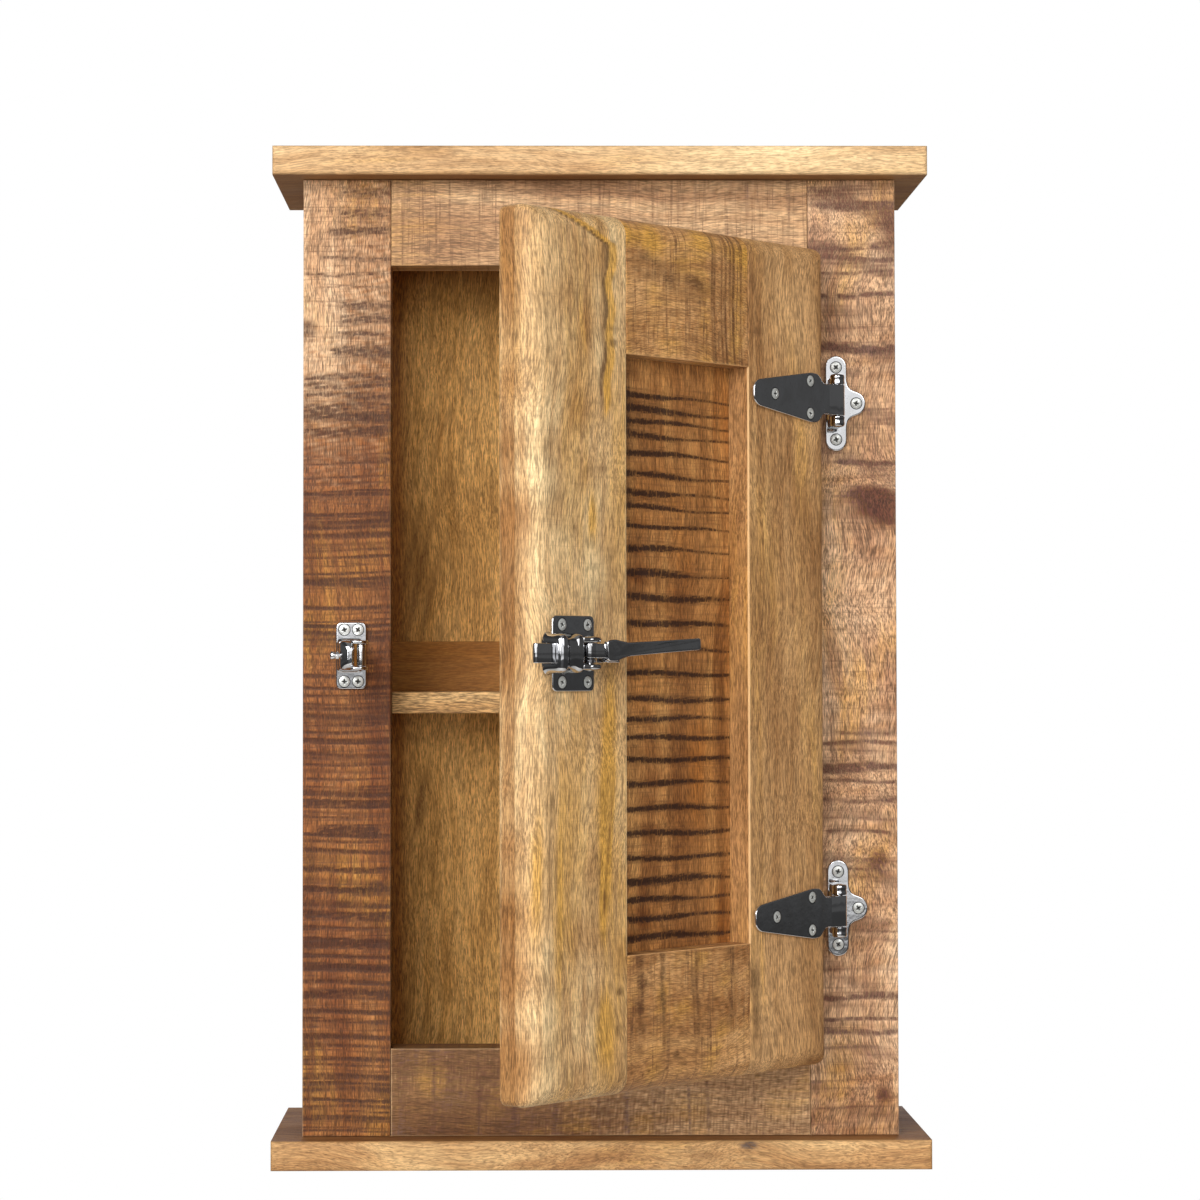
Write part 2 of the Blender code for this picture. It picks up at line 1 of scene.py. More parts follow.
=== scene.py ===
"""Looks of a hanging wall cabinet: sawn and waxed boards, a framed door and chromed ice-box hardware.

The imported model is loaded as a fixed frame. Each section below makes one piece of the cabinet, or one
group of like pieces, over the solid of the same name, in the order in which it is put together.
"""

import json
import math

import bmesh
import bpy
import numpy as np
from mathutils import Matrix, Vector
from mathutils.geometry import tessellate_polygon

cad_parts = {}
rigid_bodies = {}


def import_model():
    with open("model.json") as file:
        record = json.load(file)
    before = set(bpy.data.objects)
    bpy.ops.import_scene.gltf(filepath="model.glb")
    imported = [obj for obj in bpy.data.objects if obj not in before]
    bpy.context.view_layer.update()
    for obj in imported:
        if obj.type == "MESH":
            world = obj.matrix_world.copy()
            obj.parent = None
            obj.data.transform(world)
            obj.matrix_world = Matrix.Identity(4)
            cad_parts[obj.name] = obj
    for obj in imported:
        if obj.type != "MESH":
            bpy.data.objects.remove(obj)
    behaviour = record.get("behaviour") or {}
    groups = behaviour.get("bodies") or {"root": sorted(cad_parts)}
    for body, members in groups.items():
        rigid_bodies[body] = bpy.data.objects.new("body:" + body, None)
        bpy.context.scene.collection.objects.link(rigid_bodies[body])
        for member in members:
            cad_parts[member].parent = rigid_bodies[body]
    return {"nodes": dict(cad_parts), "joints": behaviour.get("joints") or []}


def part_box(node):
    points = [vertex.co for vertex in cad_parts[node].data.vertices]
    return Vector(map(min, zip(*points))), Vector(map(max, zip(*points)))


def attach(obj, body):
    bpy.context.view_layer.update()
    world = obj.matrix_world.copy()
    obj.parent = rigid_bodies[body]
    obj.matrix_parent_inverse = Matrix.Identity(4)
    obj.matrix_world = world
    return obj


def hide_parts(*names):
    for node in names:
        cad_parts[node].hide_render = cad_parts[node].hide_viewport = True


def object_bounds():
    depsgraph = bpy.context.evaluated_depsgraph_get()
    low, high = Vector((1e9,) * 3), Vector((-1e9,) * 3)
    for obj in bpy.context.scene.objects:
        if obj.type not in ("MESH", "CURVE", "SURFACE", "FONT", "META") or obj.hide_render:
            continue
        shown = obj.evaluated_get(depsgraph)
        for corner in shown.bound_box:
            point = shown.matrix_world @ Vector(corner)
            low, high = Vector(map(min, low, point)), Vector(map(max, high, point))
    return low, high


for startup_object in list(bpy.data.objects):
    bpy.data.objects.remove(startup_object)
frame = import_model()
cad_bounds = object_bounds()


# ---------------------------------------------------------------- camera
# A long lens straight in front of the cabinet, a little left of its middle and at half its height,
# tipped up by two degrees. The shift sets the cabinet low and right of the middle of the frame.
EYE = Vector((-0.0579, -2.4488, -0.0115))
YAW, PITCH, ROLL = -0.0106, 0.0353, 0.0012
LENS, SENSOR = 99.67, 36.0
SHIFT_X, SHIFT_Y = 0.0406, -0.0377

camera_data = bpy.data.cameras.new("front_camera")
camera_data.lens = LENS
camera_data.sensor_width = SENSOR
camera_data.shift_x = SHIFT_X
camera_data.shift_y = SHIFT_Y
camera_data.clip_start = 0.02
camera = bpy.data.objects.new("front_camera", camera_data)
aim = Matrix.Rotation(YAW, 4, "Z") @ Matrix.Rotation(PITCH, 4, "X") @ Matrix.Rotation(ROLL, 4, "Y")
camera.matrix_world = Matrix.Translation(EYE) @ aim @ Matrix.Rotation(math.pi / 2, 4, "X")
bpy.context.scene.collection.objects.link(camera)
bpy.context.scene.camera = camera


# ---------------------------------------------------------------- studio
# A white room for the eye. The metal mirrors a bright wall straight ahead, in level bands of light and
# shade, and a dark room elsewhere. Three broad soft lights stand in front: the strongest high on the left,
# a weaker one high on the right, and one near the lens that reaches into the cabinet.
FLOOR_DROP, FLOOR_RADIUS, FLOOR_CORNERS = 1.25, 2.6, 96
WALL_ENDS = ((-0.42, -0.26), (0.42, 0.24))
BAND_LOW, BAND_HIGH = -0.11, 0.60
WALL_BANDS = ((-0.082, 0.10), (-0.062, 0.85), (-0.030, 0.75), (-0.009, 0.25), (0.002, 0.38), (0.015, 0.95),
              (0.250, 1.0))
WALL_LIGHT, ROOM_LIGHT = 1.25, 0.042


def feed(tree, socket, value):
    """Links an input to a socket, or sets it to a value."""
    if isinstance(value, bpy.types.NodeSocket):
        tree.links.new(value, socket)
    else:
        socket.default_value = value


def add_node(tree, kind, settings=None, **inputs):
    """One shader node, whose inputs are fed by name."""
    made = tree.nodes.new("ShaderNode" + kind)
    for setting, value in (settings or {}).items():
        setattr(made, setting, value)
    for label, value in inputs.items():
        feed(tree, made.inputs[label.replace("_", " ")], value)
    return made


def add_math(tree, operation, *values, kind="Math"):
    """The result of a Math or VectorMath node on these values or sockets, in order."""
    made = add_node(tree, kind, {"operation": operation})
    for socket, value in zip(made.inputs, values):
        feed(tree, socket, value)
    return made.outputs[0]


def mix_light(tree, factor, first, second):
    """The first shader where the factor is 0 and the second where it is 1."""
    made = add_node(tree, "MixShader")
    for socket, value in zip(made.inputs, (factor, first.outputs[0], second.outputs[0])):
        feed(tree, socket, value)
    return made


def tint(red, green, blue):
    """A colour given as screen values from 0 to 255, as linear light with full cover."""
    share = np.array((red, green, blue)) / 255
    linear = np.where(share <= 0.04045, share / 12.92, ((share + 0.055) / 1.055) ** 2.4)
    return (*linear.tolist(), 1.0)


def soft_light(name, place, target, width, height, watts, mirrored=True):
    """A rectangular studio light, aimed from its place at the target, that glossy faces mirror or not."""
    data = bpy.data.lights.new(name, "AREA")
    data.shape = "RECTANGLE"
    data.size, data.size_y = width, height
    data.energy = watts
    lamp = bpy.data.objects.new(name, data)
    lamp.location = place
    lamp.rotation_euler = (Vector(target) - Vector(place)).to_track_quat("-Z", "Z").to_euler()
    lamp.visible_glossy = mirrored
    bpy.context.scene.collection.objects.link(lamp)


soft_light("key_light", (-1.30, -2.9, 1.15), (0.0, 0.0, 0.05), 1.8, 1.9, 78)
soft_light("side_light", (1.15, -3.2, 1.35), (0.0, 0.0, 0.0), 1.4, 1.6, 22)
soft_light("front_light", (-0.25, -3.5, 0.30), (0.0, 0.0, 0.0), 1.5, 1.2, 34, False)

world = bpy.data.worlds.new("studio")
world.use_nodes = True
room = world.node_tree
room.nodes.clear()
ray = add_node(room, "LightPath")
heading = add_node(room, "SeparateXYZ", Vector=add_node(room, "TexCoord").outputs["Generated"])
across_room, up_room = heading.outputs["X"], heading.outputs["Z"]
wall_ends = [add_node(room, "MapRange", {"interpolation_type": "SMOOTHSTEP"}, Value=across_room,
                      From_Min=dark, From_Max=lit, To_Min=0.04, To_Max=1.0).outputs["Result"]
             for dark, lit in WALL_ENDS]
level = add_node(room, "MapRange", Value=up_room, From_Min=BAND_LOW, From_Max=BAND_HIGH)
bands = add_node(room, "ValToRGB", Fac=level.outputs["Result"])
bands.color_ramp.elements[0].color = (0.05, 0.05, 0.05, 1.0)
bands.color_ramp.elements[1].color = (0.15, 0.15, 0.15, 1.0)
for height, light in WALL_BANDS:
    stop = bands.color_ramp.elements.new((height - BAND_LOW) / (BAND_HIGH - BAND_LOW))
    stop.color = (light, light, light, 1.0)
wall = add_math(room, "MULTIPLY", add_math(room, "MULTIPLY", *wall_ends), bands.outputs["Color"])
reflected = add_math(room, "MULTIPLY_ADD", wall, WALL_LIGHT, ROOM_LIGHT)
mirrored = add_node(room, "Background", Color=reflected, Strength=1.0)
scattered = add_node(room, "Background", Color=tint(255, 252, 247), Strength=0.36)
seen = add_node(room, "Background", Color=(1.0, 1.0, 1.0, 1.0), Strength=1.0)
indirect = mix_light(room, ray.outputs["Is Glossy Ray"], scattered, mirrored)
shown = mix_light(room, ray.outputs["Is Camera Ray"], indirect, seen)
add_node(room, "OutputWorld", Surface=shown.outputs[0])
bpy.context.scene.world = world
bpy.context.scene.view_settings.view_transform = "Standard"

angle = np.linspace(0, 2 * np.pi, FLOOR_CORNERS + 1)[:-1]
floor_mesh = bpy.data.meshes.new("floor")
floor_mesh.from_pydata(
    np.stack([FLOOR_RADIUS * np.cos(angle), FLOOR_RADIUS * np.sin(angle),
              np.full_like(angle, cad_bounds[0][2] - FLOOR_DROP)], axis=1).tolist(),
    [], [list(range(FLOOR_CORNERS))])
floor = bpy.data.objects.new("floor", floor_mesh)
floor_finish = bpy.data.materials.new("pale_floor")
floor_finish.use_nodes = True
floor_shader = floor_finish.node_tree.nodes["Principled BSDF"]
floor_shader.inputs["Base Color"].default_value = tint(236, 234, 230)
floor_shader.inputs["Roughness"].default_value = 0.8
floor_mesh.materials.append(floor_finish)
bpy.context.scene.collection.objects.link(floor)


# ---------------------------------------------------------------- stiles of the face frame
# Two upright boards of mango wood, butted against the rails and left as the band saw made them: dark bars
# of stained wood stand across the grain in shallow hollows, between paler, pinkish honey wood.
BOARD_EASE, CORNER_EASE = 0.0008, 0.0010
FINE, COARSE = 0.0011, 0.0024
RIM_RINGS, RIM_LAST = (0.0006, 0.0016), 0.0010
SAW_UNEVEN, SAW_FADE = 0.6, 0.03
STILE_HOLLOW = 0.00022


def ruled(low, high, spacing, ease_low=BOARD_EASE, ease_high=BOARD_EASE):
    """Grid lines from low to high: evenly spaced, and closer within the eased edge at either end, where
    they lie as the points of a quarter circle do."""
    def bend(ease):
        return ease * (1 - np.cos(np.linspace(0, np.pi / 2, 4 if ease < 0.002 else 11)))
    start, end = low + bend(ease_low), (high - bend(ease_high))[::-1]
    count = max(2, int(round((end[0] - start[-1]) / spacing)))
    return np.concatenate([start, np.linspace(start[-1], end[0], count + 1)[1:-1], end])


def edge_distance(across, along, low, high, corner=CORNER_EASE):
    """How far inside a rectangle with round corners each point lies: to the nearest straight edge, or
    in a corner to its circle."""
    middle = (np.array(low) + np.array(high)) / 2
    half = (np.array(high) - np.array(low)) / 2 - corner
    over_a = np.abs(across - middle[0]) - half[0]
    over_l = np.abs(along - middle[1]) - half[1]
    outside = np.hypot(np.maximum(over_a, 0), np.maximum(over_l, 0))
    return corner - outside - np.minimum(np.maximum(over_a, over_l), 0)


def eased(distance, radius):
    """Depth of a quarter round at this distance from its edge: radius at the edge, 0 past the radius."""
    inward = radius - np.clip(distance, 0, radius)
    return radius - np.sqrt(radius ** 2 - inward ** 2)


def wander(across, along, size, seed, stretch=1.0):
    """A smooth random field between about -1 and 1: the sum of nine plane waves of this size, drawn out
    along the board by stretch."""
    rng = np.random.default_rng(seed)
    turn, phase = rng.uniform(0, 2 * np.pi, (2, 9))
    wave = 2 * np.pi / (size * rng.uniform(0.7, 1.9, 9))
    total = np.zeros_like(across)
    for k in range(9):
        total += np.sin(wave[k] * (across * np.cos(turn[k]) + along / stretch * np.sin(turn[k])) + phase[k])
    return total / 3


def ridge(value, middle, width):
    """exp(-((value - middle) / width)^2): 1 at the middle, fading to 0 on both sides."""
    return np.exp(-((value - middle) / width) ** 2)


def ramp(value, start, reach):
    """0 up to start, rising evenly to 1 over the reach past it; a negative reach rises the other way."""
    return np.clip((value - start) / reach, 0, 1)


def cloudy(across, along, size, seed, stretch=1.0):
    """The same random field where it lies above 0, and 0 elsewhere."""
    return np.clip(wander(across, along, size, seed, stretch), 0, 1)


def sawn(across, along, pitch, breadth, seed, slant=0.0, weakest=0.1):
    """Bars left by the saw across the grain, 0 between them and up to 1 on them. They follow each other
    at an uneven pitch; each has its own strength, breadth and place where it fades out."""
    rng = np.random.default_rng(seed)
    bent = along + slant * across + 0.0010 * np.sin(across * 55 + along * 9 + seed)
    count = int((bent.max() - bent.min()) / pitch) + 3
    centres = bent.min() - pitch + np.cumsum(pitch * rng.uniform(1 - SAW_UNEVEN, 1 + SAW_UNEVEN, count))
    strength = rng.uniform(weakest, 1.0, count)
    width = breadth * rng.uniform(0.6, 1.6, count)
    phase, rate = rng.uniform(0, 2 * np.pi, count), rng.uniform(0.6, 1.5, count) / SAW_FADE
    nearest = np.searchsorted((centres[1:] + centres[:-1]) / 2, bent)
    profile = ridge(bent, centres[nearest], width[nearest])
    cover = 0.75 + 0.25 * np.sin(across * rate[nearest] + phase[nearest])
    return profile * strength[nearest] * cover


def spots(across, along, marks):
    """Soft blots, each given as (across, along, half width, half length, strength), added up."""
    total = np.zeros_like(across)
    for a, l, wide, long, strength in marks:
        total += strength * np.exp(-((across - a) / wide) ** 2 - ((along - l) / long) ** 2)
    return total


def board_skin(across, along, front, back, wall=None):
    """Closed skin of a board. Its two faces are height fields over the grid of across and along, and the
    rim between them is rings of quads. wall takes the rim's across, along, front and back and gives
    (out, across, along) for each ring; without it rings lie close behind both faces. Returns the points as
    (across, out, along), the quads, and for each point the grid point whose marks it shares."""
    rows, columns = across.shape
    index = np.arange(rows * columns).reshape(rows, columns)
    rim = np.concatenate([index[:-1, 0], index[-1, :-1], index[:0:-1, -1], index[0, :0:-1]])
    rim_a, rim_l, rim_front, rim_back = (grid.ravel()[rim] for grid in (across, along, front, back))
    if wall:
        rings = wall(rim_a, rim_l, rim_front, rim_back)
    else:
        depth = (rim_back - rim_front) * 0.49
        rings = [(rim_front + np.minimum(offset, depth), rim_a, rim_l) for offset in RIM_RINGS]
        rings.append((rim_back - np.minimum(RIM_LAST, depth), rim_a, rim_l))
    points = [np.stack([across, front, along], -1).reshape(-1, 3)]
    points += [np.stack([a, np.clip(out, rim_front, rim_back), l], -1) for out, a, l in rings]
    points += [np.stack([across, back, along], -1).reshape(-1, 3)]
    face = np.stack([index[:-1, :-1], index[:-1, 1:], index[1:, 1:], index[1:, :-1]], -1).reshape(-1, 4)
    behind = rows * columns + len(rings) * len(rim)
    loops = [rim] + [rows * columns + k * len(rim) + np.arange(len(rim)) for k in range(len(rings))]
    loops += [rim + behind]
    quads = [face, face[:, ::-1] + behind]
    quads += [np.stack([near, np.roll(near, -1), np.roll(far, -1), far], -1)
              for near, far in zip(loops[:-1], loops[1:])]
    source = np.concatenate([index.ravel(), *[rim] * len(rings), index.ravel()])
    return np.concatenate(points), np.concatenate(quads), source


def on_skin(values, source):
    """The grid's marks for every point of its skin. Behind the front face the arrises get neither wear nor
    painted highlight.
    """
    marked = {label: array.ravel()[source] for label, array in values.items()}
    size = values["wear_and_highlight"].size
    marked["wear_and_highlight"][size:-size] = 0.0
    return marked


def add_piece(name, points, faces, material, body, slot, nodes=(), crease=40, **marks):
    """Puts a skin into the scene as one piece that rides on a body and stands for the named nodes. A face
    whose last two corners are the same is a triangle. Points that coincide are merged and faces turned
    outwards. marks are arrays with a value per point, kept as attributes that the material reads."""
    mesh = bpy.data.meshes.new(name)
    corners = [face[:3] if face[2] == face[3] else face for face in np.asarray(faces).tolist()]
    mesh.from_pydata(np.asarray(points, float).tolist(), [], corners)
    for label, values in marks.items():
        mesh.attributes.new(label, "FLOAT", "POINT").data.foreach_set("value", values.astype(np.float32))
    shape = bmesh.new()
    shape.from_mesh(mesh)
    bmesh.ops.remove_doubles(shape, verts=shape.verts, dist=1e-6)
    bmesh.ops.recalc_face_normals(shape, faces=shape.faces)
    shape.to_mesh(mesh)
    shape.free()
    mesh.materials.append(material)
    mesh.shade_smooth()
    mesh.set_sharp_from_angle(angle=math.radians(crease))
    piece = bpy.data.objects.new(name, mesh)
    bpy.context.scene.collection.objects.link(piece)
    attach(piece, body)
    if nodes:
        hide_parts(*nodes)
    return piece


def plus(tree, first, second, share=1.0):
    """first + second * share."""
    return add_math(tree, "MULTIPLY_ADD", second, share, first)


def step(tree, value, low, high, to_low=0.0, to_high=1.0):
    """Stretches low..high of a value to to_low..to_high along a smooth step."""
    made = add_node(tree, "MapRange", {"interpolation_type": "SMOOTHSTEP"}, Value=value,
                    From_Min=low, From_Max=high, To_Min=to_low, To_Max=to_high)
    return made.outputs["Result"]


def lay(tree, factor, under, over, mode="MIX"):
    """Lays one colour over another."""
    made = tree.nodes.new("ShaderNodeMix")
    made.data_type = "RGBA"
    made.blend_type = mode
    for socket, value in zip((made.inputs[0], made.inputs[6], made.inputs[7]), (factor, under, over)):
        feed(tree, socket, value)
    return made.outputs[2]


def streaks(tree, place, stretch, scale, detail=2.0, distortion=0.0, shift=0.0):
    """Noise in the board's own axes (across, out, along), each axis drawn out by its stretch."""
    drawn = add_node(tree, "Mapping", Vector=place, Location=(shift, shift * 0.37, shift * 0.71),
                     Scale=stretch)
    made = add_node(tree, "TexNoise", Vector=drawn.outputs[0], Scale=scale, Detail=detail,
                    Roughness=0.65, Distortion=distortion)
    return made.outputs["Fac"]


def mark(tree, label):
    """What the piece's own attribute of this name holds."""
    return add_node(tree, "Attribute", {"attribute_name": label}).outputs["Fac"]


def timber(name, pale, body, deep, stain=(78, 46, 36), bloom=(92, 76, 78), gold=(206, 152, 58), seed=0.0,
           lying=False, fleck=0.5, ticks=0.2, sway=0.02, roughness=0.56, door=None, grain=0.6,
           shade_to=(0.50, 0.355, 0.235), cover=0.80):
    """Waxed mango wood. Fine fibres, dark pores and pale flecks run along the board and sway with the
    grain; broad clouds shade it from pale through body to deep, and faint ticks of the saw cross it.
    The piece's own marks add what is peculiar to the board: depth darkens it towards shade_to, stain covers the
    sawn bars, with a bluish bloom here and there, gold yellows the streaks, and the wear mark lightens the
    arrises, partly as worn, bared wood and partly as a painted highlight where they catch the light."""
    material = bpy.data.materials.new(name)
    material.use_nodes = True
    tree = material.node_tree
    shader = tree.nodes["Principled BSDF"]
    turn = Matrix.Rotation(-math.pi / 2, 3, "Y") if lying else Matrix.Identity(3)
    origin = Vector((0.0, 0.0, 0.0))
    if door:
        turn = turn @ Matrix.Rotation(-door[1], 3, "Z")
        origin = -(turn @ door[0])
    straight = add_node(tree, "Mapping", Vector=add_node(tree, "TexCoord").outputs["Object"],
                        Location=origin, Rotation=turn.to_euler()).outputs[0]
    slow = add_node(tree, "TexNoise", Vector=straight, Scale=9.0, Detail=1.0)
    bend = add_math(tree, "SUBTRACT", slow.outputs["Color"], (0.5, 0.5, 0.5), kind="VectorMath")
    place = add_math(tree, "MULTIPLY_ADD", bend, (sway, sway, sway * 0.3), straight, kind="VectorMath")

    fibre = streaks(tree, place, (1, 1, 0.07), 1450, 2, shift=seed)
    strand = streaks(tree, place, (1, 1, 0.045), 230, 3, 0.3, shift=seed + 1.3)
    figure = streaks(tree, place, (1, 1, 0.11), 34, 2, 0.9, shift=seed + 2.1)
    cloud = streaks(tree, straight, (1, 1, 0.5), 14, 2, 0.5, shift=seed + 3.7)
    pore = streaks(tree, place, (1, 1, 0.16), 1250, 1, shift=seed + 4.9)
    crumb = streaks(tree, place, (1, 1, 0.20), 900, 2, shift=seed + 6.1)
    tick = streaks(tree, straight, (0.04, 0.04, 1), 520, 2, shift=seed + 5.3)

    tone = plus(tree, plus(tree, figure, strand, 0.40), cloud, 0.7)
    tones = add_node(tree, "ValToRGB", Fac=step(tree, tone, 0.70, 1.40))
    tones.color_ramp.elements[0].color = tint(*deep)
    tones.color_ramp.elements[1].color = tint(*pale)
    tones.color_ramp.elements.new(0.5).color = tint(*body)
    colour = tones.outputs["Color"]
    darker = lay(tree, 1.0, colour, (*shade_to, 1.0), "MULTIPLY")
    colour = lay(tree, step(tree, plus(tree, mark(tree, "depth"), cloud, 0.5), 0.22, 1.28), colour, darker)
    yellow = step(tree, plus(tree, mark(tree, "gold"), strand, 0.8), 0.5, 1.3, 0.0, 0.8)
    colour = lay(tree, yellow, colour, tint(*gold))

    grit = plus(tree, plus(tree, crumb, fibre, 0.8), strand, 0.4)
    bars = add_math(tree, "MULTIPLY", mark(tree, "stain"), step(tree, grit, 0.86, 1.32, 0.15, 1.65))
    stained = step(tree, bars, 0.06, 1.05, 0.0, cover)
    bloomed = lay(tree, step(tree, cloud, 0.45, 0.62), tint(*stain), tint(*bloom))
    colour = lay(tree, stained, colour, bloomed)

    fine = plus(tree, plus(tree, fibre, crumb, 0.45), strand, 0.22)
    shade = step(tree, fine, 0.65, 1.03, 1 - grain, 1 + grain * 0.62)
    colour = lay(tree, 1.0, colour, shade, "MULTIPLY")
    colour = lay(tree, step(tree, pore, 0.57, 0.70, 0.0, fleck * 0.75), colour, tint(70, 44, 26))
    glint = step(tree, crumb, 0.60, 0.76, 0.0, fleck * 0.5)
    colour = lay(tree, glint, colour, (1.30, 1.26, 1.18, 1.0), "MULTIPLY")
    crossing = add_math(tree, "MULTIPLY", step(tree, tick, 0.52, 0.70, 0.0, ticks),
                        step(tree, crumb, 0.40, 0.62, 0.3, 1.0))
    colour = lay(tree, crossing, colour, tint(84, 54, 38))
    worn_and_lit = step(tree, plus(tree, mark(tree, "wear_and_highlight"), strand, 0.6), 0.55, 1.2, 0.0, 0.8)
    colour = lay(tree, worn_and_lit, colour, tint(*pale))
    tree.links.new(colour, shader.inputs["Base Color"])

    gloss = plus(tree, step(tree, cloud, 0.3, 0.7, roughness - 0.08, roughness + 0.06), fibre, 0.08)
    tree.links.new(gloss, shader.inputs["Roughness"])
    shader.inputs["Specular IOR Level"].default_value = 0.30
    relief = plus(tree, plus(tree, fibre, strand, 0.6), step(tree, pore, 0.56, 0.68), -0.7)
    relief = plus(tree, plus(tree, relief, crumb, 0.5), crossing, -1.2)
    bump = add_node(tree, "Bump", Strength=0.5, Distance=0.00022, Height=relief)
    tree.links.new(bump.outputs[0], shader.inputs["Normal"])
    return material


def flat_board(name, node, material, slot, marks=None, hollow=0.0, axes=(0, 1, 2), spacing=(COARSE, FINE),
               ease=BOARD_EASE, wear_and_highlight=0.5, body="cabinet", rim=None, rim_from=0.0, rings=None):
    """A plain board over its CAD solid. axes are the solid's axes across, out of and along the board.
    The grid spans the solid's box, both faces are eased at their edges, and the near face is lowered
    by up to hollow where marks puts stain, and by slow unevenness everywhere. rim gives marks for the
    edges, from rim_from behind the front; rings are depths at which the edges have points."""
    low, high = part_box(node)
    low, high = [low[k] for k in axes], [high[k] for k in axes]
    across, along = np.meshgrid(ruled(low[0], high[0], spacing[0], ease, ease),
                                ruled(low[2], high[2], spacing[1], ease, ease), indexing="ij")
    values = marks(across, along) if marks else {}
    distance = edge_distance(across, along, (low[0], low[2]), (high[0], high[2]))
    inside = np.clip(distance / 0.002, 0, 1)
    uneven = 0.2 * (1 + wander(across, along, 0.03, 5))
    drop = inside * hollow * (np.clip(values.get("stain", 0.0), 0, 1) + uneven)
    # Lighter at the arrises: worn wood, and partly a painted highlight where they catch the light.
    values["wear_and_highlight"] = wear_and_highlight * np.exp(-distance / 0.0012)

    def level(a, l, near, far):
        """Rings of the rim at the given depths behind the front."""
        return [(np.full_like(a, low[1] + depth), a, l) for depth in rings]

    skin, faces, source = board_skin(across, along, low[1] + eased(distance, ease) + drop,
                                     high[1] - eased(distance, BOARD_EASE if rings else ease),
                                     level if rings else None)
    points = np.empty_like(skin)
    points[:, list(axes)] = skin
    marked = on_skin(values, source)
    if rim:
        behind = ramp(skin[:, 1] - low[1], rim_from, 0.003)
        for label, value in rim.items():
            marked[label] = marked[label] * (1 - behind) + value * behind
    return add_piece(name, points, faces, material, body, slot, [node], **marked)


def placed(across, along, bars):
    """Single bars, each (along, half breadth, from, to, strength): a soft line across the grain between
    two places, frayed at its ends."""
    total = np.zeros_like(across)
    for height, half, start, end, strength in bars:
        bent = along + 0.0008 * np.sin(across * 90 + height * 400)
        reach = ramp(across, start, 0.006) * ramp(across, end, -0.006)
        total += strength * reach * ridge(bent, height, half)
    return total


def left_marks(across, along):
    """Pale and pinkish at the top with maroon bars at the opening's side, a reddish wedge at the outer
    edge, and from a fifth of the way down orange-brown all over under close dark bars."""
    low_down = ramp(along, 0.225, -0.125)
    inner = ramp(across, -0.186, 0.022)
    upper_bars = [(0.3214, 0.0030, -0.182, -0.140, 0.7), (0.3062, 0.0026, -0.185, -0.140, 0.9),
                  (0.2944, 0.0022, -0.190, -0.140, 1.0), (0.2751, 0.0012, -0.198, -0.140, 0.7),
                  (0.2640, 0.0010, -0.208, -0.140, 0.7), (0.2551, 0.0007, -0.200, -0.140, 0.5),
                  (0.2433, 0.0022, -0.184, -0.140, 0.9), (0.2330, 0.0026, -0.184, -0.140, 1.0),
                  (0.2219, 0.0012, -0.186, -0.140, 0.8), (0.2102, 0.0028, -0.188, -0.140, 1.1),
                  (0.1922, 0.0016, -0.206, -0.140, 0.8), (0.1867, 0.0014, -0.208, -0.140, 0.8),
                  (0.1798, 0.0012, -0.208, -0.140, 0.8), (0.1729, 0.0014, -0.208, -0.140, 0.9),
                  (0.1660, 0.0024, -0.208, -0.140, 1.3), (0.1549, 0.0020, -0.208, -0.140, 1.0)]
    lower_bars = [(-0.1020, 0.0022, -0.208, -0.140, 1.0), (-0.1213, 0.0034, -0.198, -0.150, 1.2),
                  (-0.1469, 0.0018, -0.208, -0.140, 0.9), (-0.1607, 0.0020, -0.208, -0.140, 1.0),
                  (-0.1793, 0.0022, -0.208, -0.140, 1.0), (-0.1980, 0.0030, -0.208, -0.140, 1.5),
                  (-0.2145, 0.0020, -0.208, -0.140, 0.9), (-0.2318, 0.0020, -0.208, -0.140, 1.0),
                  (-0.3050, 0.0016, -0.208, -0.140, 0.8)]
    frayed = 1 + 0.55 * wander(across, along, 0.006, 15, 0.30)
    upper = placed(across, along, [(z, half * 1.5, *rest) for z, half, *rest in upper_bars])
    bars = (0.80 * upper + 1.1 * placed(across, along, lower_bars)) * frayed
    close = sawn(across, along, 0.0078, 0.0014, 11, weakest=0.2)
    close = close + 0.8 * sawn(across, along, 0.0035, 0.0008, 12)
    clouds = cloudy(across, along, 0.035, 13, 0.4)
    wedge = spots(across, along, [(-0.203, 0.226, 0.007, 0.007, 0.8), (-0.199, 0.305, 0.002, 0.006, 0.5)])
    pale = spots(across, along, [(-0.192, 0.290, 0.013, 0.060, 1.0), (-0.188, 0.205, 0.008, 0.030, 0.6)])
    grey = spots(across, along, [(-0.199, -0.20, 0.004, 0.09, 0.30)])
    return {"stain": 0.95 * bars + (0.16 + 1.10 * low_down) * close
                     + clouds * (0.14 * low_down + 0.12 * inner) + wedge + grey,
            "depth": 0.14 + 0.92 * low_down + 0.24 * inner * (1 - low_down) + 0.35 * wedge - 0.10 * pale
                     + 0.14 * wander(across, along, 0.012, 16, 0.25),
            "gold": 0.08 + 0.25 * cloudy(across, along, 0.05, 14, 2.0)}


